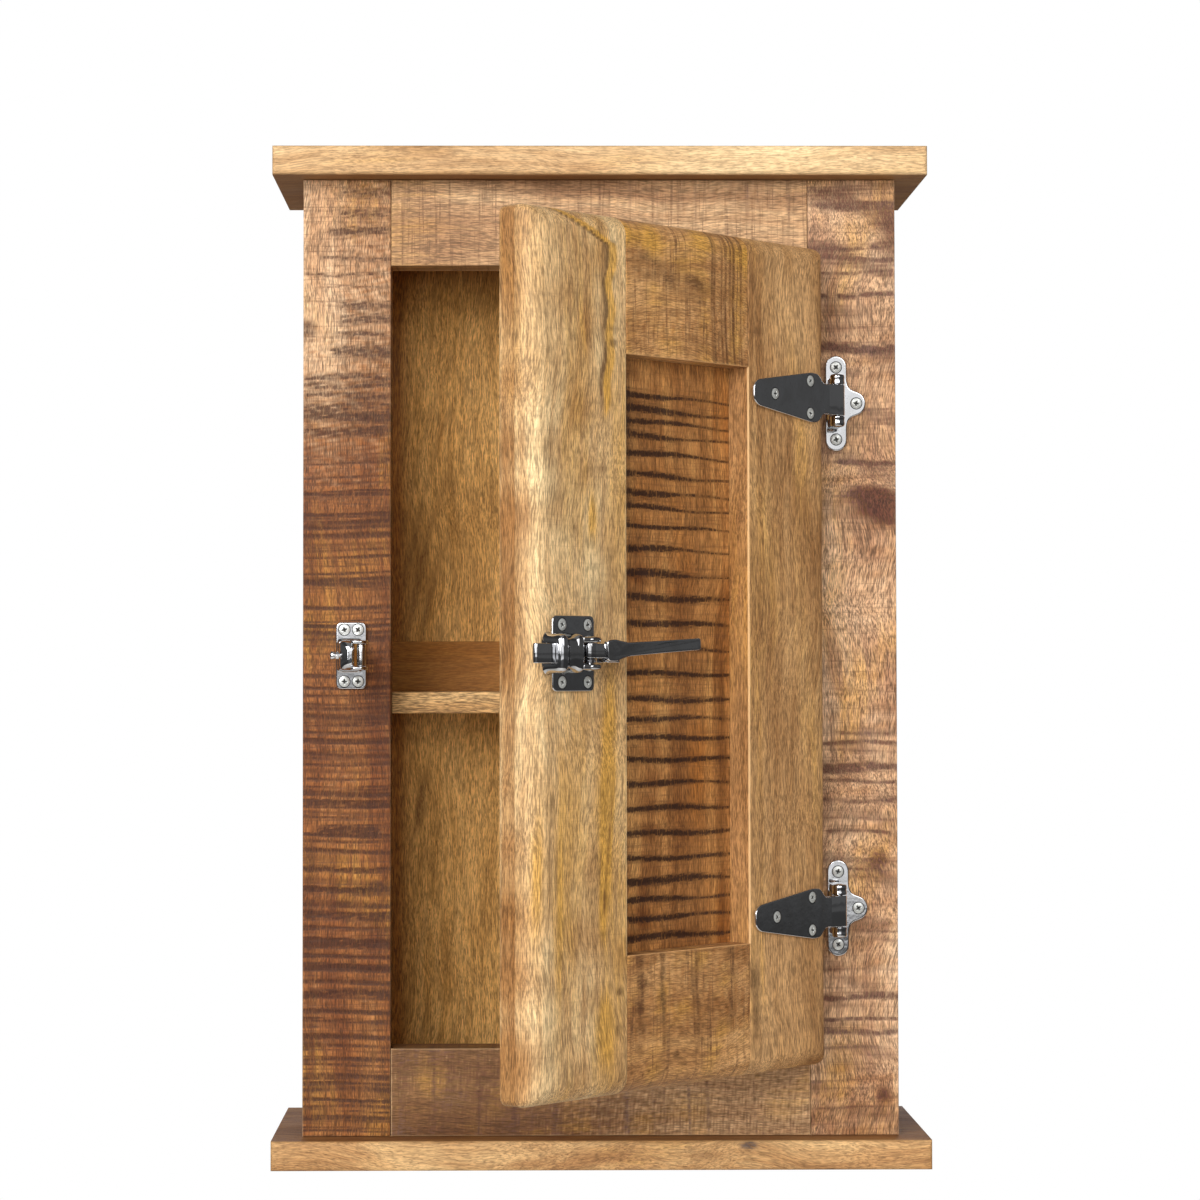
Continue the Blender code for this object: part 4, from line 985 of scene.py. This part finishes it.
def softened(corners, reach, count=6):
    """A closed outline with its corners drawn round: a parabola from reach before each corner to reach
    after it, or half way along a shorter edge."""
    corners = np.asarray(corners, float)
    ends = []
    for shift in (1, -1):
        edge = np.roll(corners, shift, 0) - corners
        length = np.linalg.norm(edge, axis=1, keepdims=True)
        ends.append(corners + edge / np.maximum(length, 1e-9) * np.minimum(reach, length * 0.499))
    t = np.linspace(0, 1, count)[None, :, None]
    curve = (1 - t) ** 2 * ends[0][:, None] + 2 * t * (1 - t) * corners[:, None] + t ** 2 * ends[1][:, None]
    return curve.reshape(-1, 2)


def oblong(low_a, high_a, half_b, radius, count=6):
    """The outline of a rectangle with round corners, level about b = 0."""
    corners = [(low_a, -half_b), (high_a, -half_b), (high_a, half_b), (low_a, half_b)]
    return softened(corners, radius, count)


def inset(outline, distance):
    """An outline moved inwards by a distance along the normals of its points."""
    along = np.roll(outline, -1, 0) - np.roll(outline, 1, 0)
    along /= np.linalg.norm(along, axis=1, keepdims=True)
    after = np.roll(outline, -1, 0)
    turning = np.sign(np.sum(outline[:, 0] * after[:, 1] - after[:, 0] * outline[:, 1]))
    return outline + turning * distance * np.stack([-along[:, 1], along[:, 0]], -1)


def band(rings, around, first=0):
    """Quads that join rings of points, numbered from first, each to the next."""
    index = first + np.arange(rings * around).reshape(rings, around)
    after = np.roll(index, -1, 1)
    return np.stack([index[:-1], after[:-1], after[1:], index[1:]], -1).reshape(-1, 4)


def screw_holes(places):
    """A countersunk hole for a screw at each of these places: its loops at the front and the back."""
    return [(ring(a, b, HEAD_WIDE), ring(a, b, SHANK_WIDE)) for a, b in places]


def slab(outline, low, high, ease, holes=()):
    """A plate of this outline between two depths, its edges quarter rounds and each hole a pair of loops,
    at the front and the back. Gives points as (a, b, depth), faces, and how much each point is an edge."""
    bend = np.linspace(0, np.pi / 2, 5)
    rise, fall = ease * (1 - np.cos(bend)), ease * (1 - np.sin(bend))
    insets = np.concatenate([[ease * 1.5], fall, rise, [ease * 1.5]])
    depths = np.concatenate([[low], low + rise, high - fall, [high]])
    count = len(outline)
    points = [np.column_stack([inset(outline, i), np.full(count, d)]) for i, d in zip(insets, depths)]
    faces = [band(len(points), count)]
    edge = [np.full(count, 1.0 if 0 < k < len(insets) - 1 else 0.0) for k in range(len(insets))]
    total = count * len(points)
    front, back = [np.arange(count) + total - count], [np.arange(count)]
    for near, far in holes:
        size = len(near)
        loops = [(inset(near, -0.0003), high), (near, high), (far, low), (inset(far, -0.0002), low)]
        points += [np.column_stack([loop, np.full(size, depth)]) for loop, depth in loops]
        faces.append(band(4, size, total))
        edge += [np.zeros(size), np.full(size, -1.0), np.full(size, -1.0), np.zeros(size)]
        front.append(total + np.arange(size))
        back.append(total + 3 * size + np.arange(size))
        total += 4 * size
    flat = np.concatenate(points)
    for loops in (front, back):
        corners = [[Vector((*flat[k][:2], 0.0)) for k in loop] for loop in loops]
        faces.append(np.concatenate(loops)[np.array(tessellate_polygon(corners))][:, [0, 1, 2, 2]])
    return flat, np.concatenate(faces), np.concatenate(edge)


def cast_plate(outline, places):
    """A screwed plate of this outline, at the depths and with the round edge that all the castings share."""
    return slab(outline, PLATE_BACK, PLATE_FRONT, PLATE_ROUND, screw_holes(places))


def lofted(rings, closed=False):
    """A skin over rings of points, (rings, around, 3): its ends are drawn to their middles, or the last
    ring is joined to the first when it is closed."""
    rings = np.asarray(rings, float)
    if closed:
        rings = np.concatenate([rings, rings[:1]])
    else:
        ends = [np.repeat(rings[k].mean(0)[None, None], rings.shape[1], 1) for k in (0, -1)]
        rings = np.concatenate([ends[0], rings, ends[1]])
    count, around = rings.shape[:2]
    return rings.reshape(-1, 3), band(count, around), np.zeros(count * around)


def turned(profile, closed=False):
    """A profile of (radius, height) turned round the third axis."""
    circle = ring(0, 0, 1.0, AROUND)
    rings = [np.column_stack([circle * radius, np.full(AROUND, height)]) for radius, height in profile]
    return lofted(rings, closed)


def moved(shell, swap=(0, 1, 2), flip=(1, 1, 1), by=(0, 0, 0)):
    """A shell with its axes exchanged, some of them reversed, and then shifted."""
    points, faces, edge = shell
    return points[:, list(swap)] * np.array(flip) + np.array(by), faces, edge


def facing(shell, by=(0, 0, 0)):
    """A shell of (a, b, depth) stood up so that depth comes out of the front."""
    return moved(shell, (0, 2, 1), (1, -1, 1), by)


def joined(*shells):
    """Several shells as one."""
    starts = np.cumsum([0] + [len(points) for points, _, _ in shells[:-1]])
    return (np.concatenate([points for points, _, _ in shells]),
            np.concatenate([faces + start for (_, faces, _), start in zip(shells, starts)]),
            np.concatenate([edge for _, _, edge in shells]))


def plated(name, colour=(206, 207, 210), polish=0.025, haze=0.05, metal=1.0, seed=0.0):
    """Bright plating over cast metal: it mirrors the room through faint smears and hairline scratches, over a
    surface that the casting left slightly wavy, and dirt has settled in the holes. Its rounded edges are painted
    lighter, a painted highlight."""
    material = bpy.data.materials.new(name)
    material.use_nodes = True
    tree = material.node_tree
    shader = tree.nodes["Principled BSDF"]
    place = add_node(tree, "TexCoord").outputs["Object"]
    smear = streaks(tree, place, (1, 1, 0.5), 70, 3, 0.8, shift=seed)
    hair = streaks(tree, place, (1, 0.08, 1), 2400, 2, shift=seed + 1)
    pit = streaks(tree, place, (1, 1, 1), 1500, 1, shift=seed + 2)
    wave = streaks(tree, place, (1, 1, 1), 160, 2, shift=seed + 3)
    edge = mark(tree, "edge")
    colour_now = lay(tree, step(tree, smear, 0.35, 0.7, 0.0, 0.35), tint(*colour), tint(172, 170, 166))
    colour_now = lay(tree, step(tree, pit, 0.66, 0.74, 0.0, 0.5), colour_now, tint(70, 62, 54))
    # Painted highlight: the rounded edges are given a lighter colour, as if they caught the light.
    colour_now = lay(tree, step(tree, edge, 0.2, 1.0, 0.0, 0.6), colour_now, tint(232, 232, 234))
    dirt = step(tree, add_math(tree, "MULTIPLY", edge, -1.0), 0.1, 0.9, 0.0, 0.92)
    colour_now = lay(tree, dirt, colour_now, tint(26, 22, 19))
    tree.links.new(colour_now, shader.inputs["Base Color"])
    shader.inputs["Metallic"].default_value = metal
    smeared = step(tree, smear, 0.3, 0.75, polish, polish + haze)
    rough = plus(tree, smeared, step(tree, hair, 0.55, 0.7), 0.05)
    tree.links.new(plus(tree, rough, dirt, 0.3), shader.inputs["Roughness"])
    relief = plus(tree, wave, hair, 0.06)
    bump = add_node(tree, "Bump", Strength=0.35, Distance=ROUGH_CAST, Height=relief)
    tree.links.new(bump.outputs[0], shader.inputs["Normal"])
    return material


def add_metal(name, shell, material, body, slot="chrome", place=None):
    """Puts a shell of metal in its place as the piece that stands for the node of the same name."""
    points, faces, edge = shell
    return add_piece(name + "_metal", place(points) if place else points, faces, material, body, slot,
                     [name], crease=34, edge=edge)


chrome = plated("chrome_finish")
PIN_AXIS = np.array((DOOR_PIN.x, DOOR_PIN.y))
stile_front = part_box("stile_right")[0].y
plan = np.concatenate([arc(0.0015, 0.0256, 0.0074, 0, 180), arc(0.0015, -0.0256, 0.0074, 180, 360),
                       [(0.0089, -0.0150), (0.0106, -0.0100)], arc(0.0135, 0, 0.0085, -70, 70),
                       [(0.0106, 0.0100), (0.0089, 0.0150)]])
plan = softened(plan, 0.0030, 4)
plate_screws = ((0.0015, 0.025), (0.0015, -0.025), (0.0155, 0))
barrel = [(BORE_WIDE, EAR_LOW), (0.0044, EAR_LOW), (0.0049, EAR_LOW + 0.0004), (0.0050, EAR_LOW + 0.0012),
          (0.0048, EAR_LOW + 0.0020), (0.0047, EAR_LOW + 0.0036), (0.0049, EAR_LOW + 0.0046),
          (0.0049, EAR_HIGH - 0.0014), (0.0043, EAR_HIGH - 0.0004), (0.0034, EAR_HIGH),
          (BORE_WIDE, EAR_HIGH)]
web = softened([(-0.0046, 0.0012), (-0.0040, 0.0080), (-0.0036, 0.0265), (0.0036, 0.0265), (0.0040, 0.0080),
                (0.0046, 0.0012)], 0.0015)
rivet = [(0.0012, -0.0184), (0.0021, -0.0183), (0.0026, -0.0181), (PIN_WIDE, -0.0178), (PIN_WIDE, 0.0178),
         (0.0026, 0.0181), (0.0021, 0.0183), (0.0012, 0.0184)]
pin_heights = {}
for where in ("upper", "lower"):
    low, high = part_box("hinge_pin_" + where)
    height = pin_heights[where] = (low.z + high.z) / 2
    shells = [facing(cast_plate(plan, plate_screws), (PIN_AXIS[0], stile_front, height))]
    for sign in (1, -1):
        centre = (*PIN_AXIS, height)
        shells.append(moved(turned(barrel, closed=True), flip=(1, 1, sign), by=centre))
        leg = slab(web, EAR_LOW + 0.0006, EAR_HIGH - 0.0010, 0.0006)
        shells.append(moved(leg, flip=(1, -1, sign), by=(PIN_AXIS[0], stile_front, height)))
    add_metal("hinge_plate_" + where, joined(*shells), chrome, "cabinet")
    add_metal("hinge_pin_" + where, moved(turned(rivet), by=(*PIN_AXIS, height)), chrome, "cabinet")


# ---------------------------------------------------------------- hinge straps
# Chromed straps screwed to the door's hinge stile. Each tapers from a shoulder to its tip; past the neck
# the metal steps out and is rolled round the pin between the barrels of the plate.
KNUCKLE_HALF, KNUCKLE_WIDE = 0.0104, 0.0050


def both_sides(half):
    """The corners of an outline that is alike above and below b = 0, from those above it."""
    return half + [(a, -b) for a, b in reversed(half)]


strap_half = [(0.0, 0.0102), (-0.0190, 0.0102), (-0.0252, 0.0166), (-0.0330, 0.0170), (-0.0915, 0.0088),
              (-0.0960, 0.0052)]
strap_plan = softened(both_sides(strap_half), 0.0028)
strap_screws = ((-0.0734, 0), (-0.0343, 0.011), (-0.0343, -0.011))
rolled = np.concatenate([[(-0.0170, 0.0016), (-0.0060, 0.0046)], arc(0, 0, KNUCKLE_WIDE, 112, -150, 22),
                         [(-0.0062, -0.0012), (-0.0170, 0.0008)]])
for where, height in pin_heights.items():
    knuckle = slab(softened(rolled, 0.0012, 3), -KNUCKLE_HALF, KNUCKLE_HALF, 0.0004,
                   [(ring(0, 0, BORE_WIDE), ring(0, 0, BORE_WIDE))])
    strap = joined(facing(cast_plate(strap_plan, strap_screws), (0, 0, height)),
                   moved(knuckle, flip=(1, -1, 1), by=(0, 0, height)))
    add_metal("hinge_strap_" + where, strap, chrome, "door", place=on_door)


# ---------------------------------------------------------------- latch housing
# A chromed casting on the door's latch stile. Over its screwed plate stands a waisted barrel with a collar
# at each end, hollow at the mouth for the bolt, and behind it two round ears that hold the lever's pin.
pin_low, pin_high = door_box("latch_pin")
LEVER_PIN = (pin_low + pin_high) / 2 * (1, 1, 0)
LATCH_AT = LEVER_PIN * (1, 0, 0)


def on_latch(points):
    """Points given from the latch's own middle, on the open door."""
    return on_door(points + LATCH_AT)


def arch(x, out, half, foot=0.0009, flare=0.0022):
    """One cross-section of the housing: a round-shouldered arch whose feet spread to the plate."""
    shoulder = min(half, out - foot) * 0.62
    corners = [(foot, -half - flare), (foot + flare * 1.3, -half), (out - shoulder * 0.2, -half),
               (out, -half + shoulder * 0.8), (out, half - shoulder * 0.8), (out - shoulder * 0.2, half),
               (foot + flare * 1.3, half), (foot, half + flare)]
    outline = softened(corners, shoulder * 0.7, 7)
    return np.column_stack([np.full(len(outline), x), -outline[:, 0], outline[:, 1]])


sections = [(-31.0, 13.6, 8.0), (-30.7, 15.0, 9.4), (-29.8, 16.6, 11.0), (-28.4, 17.7, 12.0),
            (-26.6, 18.0, 12.2), (-25.0, 17.6, 11.7), (-23.6, 16.6, 10.7), (-21.5, 16.0, 10.1),
            (-18.8, 15.8, 9.9), (-16.4, 16.1, 10.2), (-14.9, 17.0, 11.1), (-13.6, 18.0, 12.0),
            (-12.2, 18.2, 12.2), (-10.9, 18.0, 12.0), (-9.8, 17.0, 11.0), (-9.0, 15.4, 9.6),
            (-8.6, 13.0, 8.0)]
housing = [arch(x / 1000, out / 1000, half / 1000) for x, out, half in sections]
mouth = [arch(x, 0.01235, 0.00645, foot=0.0030, flare=0.0) for x in (-0.022, -0.0308)]
cheek = np.concatenate([[(-0.0102, 0.0006), (-0.0102, 0.0166)], arc(0, 0.013, 0.0068, 120, 10),
                        [(0.0095, 0.0006)]])
boss = np.array([(2.3, 6.8), (5.8, 6.8), (6.6, 7.0), (7.3, 7.6), (7.5, 8.4), (7.3, 9.2), (6.5, 10.0),
                 (5.0, 10.45), (3.2, 10.5), (2.3, 10.5)]) / 1000
latch_plan = oblong(-0.0230, 0.0165, 0.0235, 0.0042)
latch_screws = [(a, b) for a in (-0.0141, 0.0101) for b in (0.0178, -0.0178)]
shells = [facing(cast_plate(latch_plan, latch_screws)), lofted(mouth + housing)]
for sign in (1, -1):
    shells.append(moved(slab(softened(cheek, 0.0015), 0.0069, 0.0098, 0.0005), flip=(1, -1, sign)))
    shells.append(moved(turned(boss, closed=True), flip=(1, 1, sign), by=(0, LEVER_PIN[1], 0)))
add_metal("latch_body", joined(*shells), chrome, "door", place=on_latch)
pin_half = (pin_high[2] - pin_low[2]) / 2
head = [(0.0010, -pin_half), (0.0018, -pin_half + 0.0002), (PIN_WIDE, -pin_half + 0.0006),
        (PIN_WIDE, pin_half - 0.0006), (0.0018, pin_half - 0.0002), (0.0010, pin_half)]
add_metal("latch_pin", moved(turned(head), by=(0, LEVER_PIN[1], 0)), chrome, "door", place=on_latch)


# ---------------------------------------------------------------- latch bolt
# A square-headed chromed bolt, bevelled at the rear of its nose so that it rides over the roller. Its flat
# tail runs back under the lever and has a window for the lever's finger.
nose = softened([(-0.0486, 0.0108), (-0.0486, 0.0092), (-0.0415, 0.0034), (-0.0160, 0.0034),
                 (-0.0160, 0.0120), (-0.0474, 0.0120)], 0.0006, 4)
window = oblong(-0.0062, 0.0022, 0.0034, 0.0006, 4)
tail = slab(oblong(-0.0180, 0.0080, 0.0052, 0.0010), 0.0034, 0.0062, 0.0004, [(window, window)])
bolt = joined(moved(slab(nose, -0.00615, 0.00615, 0.0007), flip=(1, -1, 1)), facing(tail))
add_metal("latch_bolt", bolt, chrome, "bolt", place=on_latch)


# ---------------------------------------------------------------- latch lever
# The lever turns on the pin between the ears. From its hub an arm steps out to a flared root, and a flat
# handle runs on towards the hinges, rising a little; a finger behind the hub moves the bolt.
LEVER_RISE = math.radians(3.0)


def rod(radius, low, high, ease):
    """A turned rod with quarter rounds at both ends."""
    bend = np.linspace(0, np.pi / 2, 5)
    start = np.stack([radius - ease * (1 - np.sin(bend)), low + ease * (1 - np.cos(bend))], -1)
    end = np.stack([radius - ease * (1 - np.cos(bend)), high - ease * (1 - np.sin(bend))], -1)
    return turned([(radius * 0.5, low), *start, *end, (radius * 0.5, high)])


handle_half = [(0.0060, 0.0064), (0.0135, 0.0070), (0.0190, 0.0057), (0.0260, 0.0044), (0.0600, 0.0040),
               (0.0980, 0.0039)]
handle_plan = softened(both_sides(handle_half), 0.0022)
handle = slab(handle_plan, 0.0067, 0.0102, 0.0008)
cos, sin = math.cos(LEVER_RISE), math.sin(LEVER_RISE)
lean = np.array([[cos, sin], [-sin, cos]])
handle[0][:, :2] = handle[0][:, :2] @ lean + (0, 0.0012)
handle[0][:, 2] += 0.0006 * np.sin(np.clip(handle[0][:, 0] / 0.098, 0, 1) * np.pi) - 0.0003
arm = softened([(-0.0015, 0.0048), (-0.0015, -0.0034), (0.0120, -0.0010), (0.0200, 0.0060), (0.0200, 0.0094),
                (0.0120, 0.0093)], 0.0020)
root = softened([(0.0068, 0.0088), (0.0068, -0.0008), (0.0120, 0.0004), (0.0190, 0.0060),
                 (0.0190, 0.0090)], 0.0015)
finger = oblong(-0.0014, 0.0014, 0.0030, 0.0006)
lever = joined(facing(handle), moved(slab(root, -0.0058, 0.0060, 0.0010), flip=(1, -1, 1)),
               moved(slab(arm, -0.0030, 0.0060, 0.0006), flip=(1, -1, 1)),
               moved(rod(0.0052, -0.0030, 0.0064, 0.0007)), facing(slab(finger, -0.0093, -0.0030, 0.0004)))
add_metal("latch_lever", moved(lever, by=LEVER_PIN - LATCH_AT), chrome, "lever", place=on_latch)


# ---------------------------------------------------------------- lever spring
# A torsion spring of steel wire round the pin under the lever's hub: two and a quarter turns, each wire's
# width above the last, its ends cut square.
spring_foot = door_box("lever_spring")[0][2]
WIRE, COIL, PITCH, TURNS = 0.00045, 0.0036, 0.0011, 2.25
turn = np.linspace(0, 2 * np.pi * TURNS, 91)[:, None]
round_wire = np.linspace(0, 2 * np.pi, 13)[:-1][None]
reach = COIL + WIRE * np.cos(round_wire)
coil = np.stack([reach * np.cos(turn), reach * np.sin(turn),
                 spring_foot + WIRE + PITCH * turn / (2 * np.pi) + WIRE * np.sin(round_wire)], -1)
spring_steel = plated("spring_wire", (150, 150, 154), polish=0.25, haze=0.12, seed=3.0)
add_metal("lever_spring", moved(lofted(coil), by=LEVER_PIN - LATCH_AT), spring_steel, "door", "spring_steel",
          on_latch)


# ---------------------------------------------------------------- keeper, its roller and adjuster
# A chromed casting on the left stile: a post on a screwed plate, with a forked head that carries a bright
# roller on a pin. A screw with a lock nut comes in from the left, under the head.
low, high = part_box("keeper_body")
KEEPER_AT = np.array([(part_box("keeper_screw_upper_left")[0].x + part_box("keeper_screw_upper_right")[1].x) / 2,
                      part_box("stile_left")[0].y, (low.z + high.z) / 2])


def on_keeper(points):
    """Points given from the keeper's own middle on the stile's front."""
    return points + KEEPER_AT


def block(out, left, right, half, radius):
    """One level section of the post, a rectangle with round corners."""
    outline = oblong(left, right, half, radius, 9)
    return np.column_stack([outline[:, 0], np.full(len(outline), -out), outline[:, 1]]) / 1000


levels = [(0.9, -10.3, 8.8, 12.6, 4.0), (2.6, -10.0, 8.0, 12.2, 4.0), (3.6, -9.4, 7.0, 10.9, 3.8),
          (5.0, -8.9, 6.6, 9.9, 3.4), (9.0, -8.4, 6.5, 9.3, 3.2), (24.0, -7.4, 6.5, 9.0, 3.2),
          (33.0, -6.7, 6.5, 9.2, 3.2), (36.0, -6.4, 5.4, 9.8, 3.2), (38.0, -6.2, 4.2, 10.0, 3.2),
          (43.0, -5.6, 4.0, 10.0, 3.4), (45.5, -4.6, 4.0, 9.4, 3.6), (47.4, -3.1, 4.0, 8.0, 3.4),
          (48.6, -1.0, 3.6, 5.8, 2.4), (49.0, 0.8, 2.8, 3.4, 1.2)]
fork = softened([(1.0, 35.2), (7.0, 36.4), (13.5, 38.5), (13.5, 46.0), (10.0, 49.0), (2.0, 49.0)], 2.6)
fork = fork / 1000
roller_low, roller_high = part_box("keeper_roller")
roller_centre = np.array((roller_low + roller_high) / 2)
roller_at = roller_centre - KEEPER_AT
eye = ring(roller_at[0], -roller_at[1], 0.0016, 24)
keeper_screws = [(a, b) for a in (-0.0047, 0.0047) for b in (0.0178, -0.0178)]
shells = [facing(cast_plate(oblong(-0.0105, 0.0105, 0.0230, 0.0042), keeper_screws)),
          lofted([block(*level) for level in levels])]
for sign in (1, -1):
    shells.append(moved(slab(fork, 0.0077, 0.0100, 0.0007, [(eye, eye)]), flip=(1, -1, sign)))
add_metal("keeper_body", joined(*shells), chrome, "cabinet", place=on_keeper)
tube = np.array([(1.6, -7.3), (2.5, -7.3), (2.9, -7.15), (3.1, -6.7), (3.1, -2.0), (3.04, 0.0), (3.1, 2.0),
                 (3.1, 6.7), (2.9, 7.15), (2.5, 7.3), (1.6, 7.3)]) / 1000
bright = plated("roller_finish", (226, 226, 228), polish=0.12, haze=0.10, seed=5.0)
add_metal("keeper_roller", moved(turned(tube, closed=True), by=roller_centre), bright, "roller")
peg = np.array([(0.7, -10.2), (1.1, -10.1), (1.3, -9.9), (1.3, 9.9), (1.1, 10.1), (0.7, 10.2)]) / 1000
add_metal("keeper_roller_pin", moved(turned(peg), by=roller_centre), chrome, "cabinet")
six = softened(ring(0, 0, 0.0030, 6), 0.0005, 3)
nut = slab(six, -0.0030, -0.0008, 0.0003)
knob = np.array([(0.8, -8.5), (1.4, -8.3), (1.6, -8.0), (1.6, -0.3), (2.5, -0.3), (2.85, 0.0), (2.9, 0.6),
                 (2.9, 1.9), (2.6, 2.5), (1.9, 2.85), (0.9, 2.9)]) / 1000
low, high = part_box("keeper_adjuster")
adjuster_at = (low.x + knob[-1][1], (low.y + high.y) / 2, (low.z + high.z) / 2)
adjuster = moved(joined(turned(knob), nut), (2, 0, 1), (-1, 1, 1), adjuster_at)
add_metal("keeper_adjuster", adjuster, bright, "cabinet")


# ---------------------------------------------------------------- hangers
# Keyhole plates of yellowed zinc-plated sheet, let into the rear edge of each side over a pocket: the wall
# screw's head goes in at the round hole and the cabinet drops on to its shank.
hanger_zinc = plated("hanger_zinc", (176, 164, 128), polish=0.30, haze=0.14, seed=9.0)
for side in ("left", "right"):
    low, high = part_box("hanger_" + side)
    middle = ((low.x + high.x) / 2, 0.0, (low.z + high.z) / 2)
    keyhole = np.concatenate([arc(0, 0, 0.0045, 120, 420, 24), arc(0, 0.012, 0.0022, 0, 180, 12)])
    holes = [(keyhole, keyhole)] + [(ring(0, b, HEAD_WIDE), ring(0, b, 0.0030)) for b in (0.0195, -0.0155)]
    flat, faces, edge = slab(oblong(-0.008, 0.008, 0.024, 0.0034), 0.0, 0.0015, 0.0003, holes)
    seated = np.stack([flat[:, 0], flat[:, 2] - 0.0015, flat[:, 1]], -1) + middle
    add_metal("hanger_" + side, (seated, faces, edge), hanger_zinc, "cabinet", "hanger_steel")


# ---------------------------------------------------------------- screws
# Zinc-plated wood screws with raised countersunk heads and a cross recess, driven home flush with their
# plates, each stopped at its own angle. Below the neck the shank has a shallow thread.
HEAD, CROWN, SINK, SHANK, LENGTH = 0.0037, 0.0006, 0.0019, 0.0017, 0.0160
CROSS_HALF, CROSS_REACH, CROSS_DEEP = 0.00052, 0.0021, 0.0013


def screw_shell(twist):
    """The head is a polar grid, height = crown * (1 - (r / head)^2) less the recess, whose depth falls
    from the middle to the ends of a cross of two arms; then a cone, and a shank whose radius ripples as
    thread."""
    around = 56
    angle = np.linspace(0, 2 * np.pi, around + 1)[:-1][None]
    radius = np.concatenate([np.linspace(0.0, 0.0025, 17), [0.0029, 0.0033, 0.0036, HEAD]])[:, None]
    x, y = radius * np.cos(angle), radius * np.sin(angle)
    narrow = np.clip(1.5 - np.minimum(np.abs(x), np.abs(y)) / CROSS_HALF, 0, 1)
    short = ramp(radius, CROSS_REACH, -0.0004)
    sunk = CROSS_DEEP * narrow * short * (1 - 0.75 * radius / CROSS_REACH)
    top = CROWN * (1 - (radius / HEAD) ** 2) - sunk
    depth = np.linspace(0, 1, 34)
    thread = SHANK - 0.00018 + 0.00018 * np.cos(depth * 2 * np.pi * 10)
    thread = np.where(depth > 0.85, thread * (1 - depth) / 0.15, thread)
    profile = np.concatenate([[(HEAD - 0.0001, -0.0002)], [(SHANK, -SINK)],
                              np.stack([thread, -SINK - 0.0002 - depth * (LENGTH - SINK - 0.0004)], -1)])
    below = np.stack([profile[:, :1] * np.cos(angle), profile[:, :1] * np.sin(angle),
                      np.repeat(profile[:, 1:], around, 1)], -1)
    rings = np.concatenate([np.stack([x, y, top], -1), below])
    cos, sin = math.cos(twist), math.sin(twist)
    rings[..., :2] = rings[..., :2] @ np.array([[cos, sin], [-sin, cos]])
    points, faces, _ = lofted(rings)
    in_cross = (-(sunk / CROSS_DEEP) * 1.4).ravel()
    dirt = np.concatenate([np.zeros(around), in_cross, np.zeros(below[..., 0].size + around)])
    return points, faces, dirt


zinc = plated("screw_zinc", (226, 228, 224), polish=0.32, haze=0.12, metal=0.55, seed=11.0)
twists = np.random.default_rng(4)
for node in sorted(name for name in frame["nodes"] if "_screw_" in name):
    shell = screw_shell(twists.uniform(0, np.pi / 2))
    rides_door = node.startswith(("hinge_strap", "latch"))
    low, high = door_box(node) if rides_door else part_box(node)
    low, high = np.array(low), np.array(high)
    middle = (low + high) / 2
    if node.startswith("hanger"):
        seated = moved(shell, (0, 2, 1), by=(middle[0], high[1] - CROWN, middle[2]))
    else:
        seated = facing(shell, (middle[0], low[1] + CROWN, middle[2]))
    add_metal(node, seated, zinc, "door" if rides_door else "cabinet", "screw_steel",
              on_door if rides_door else None)
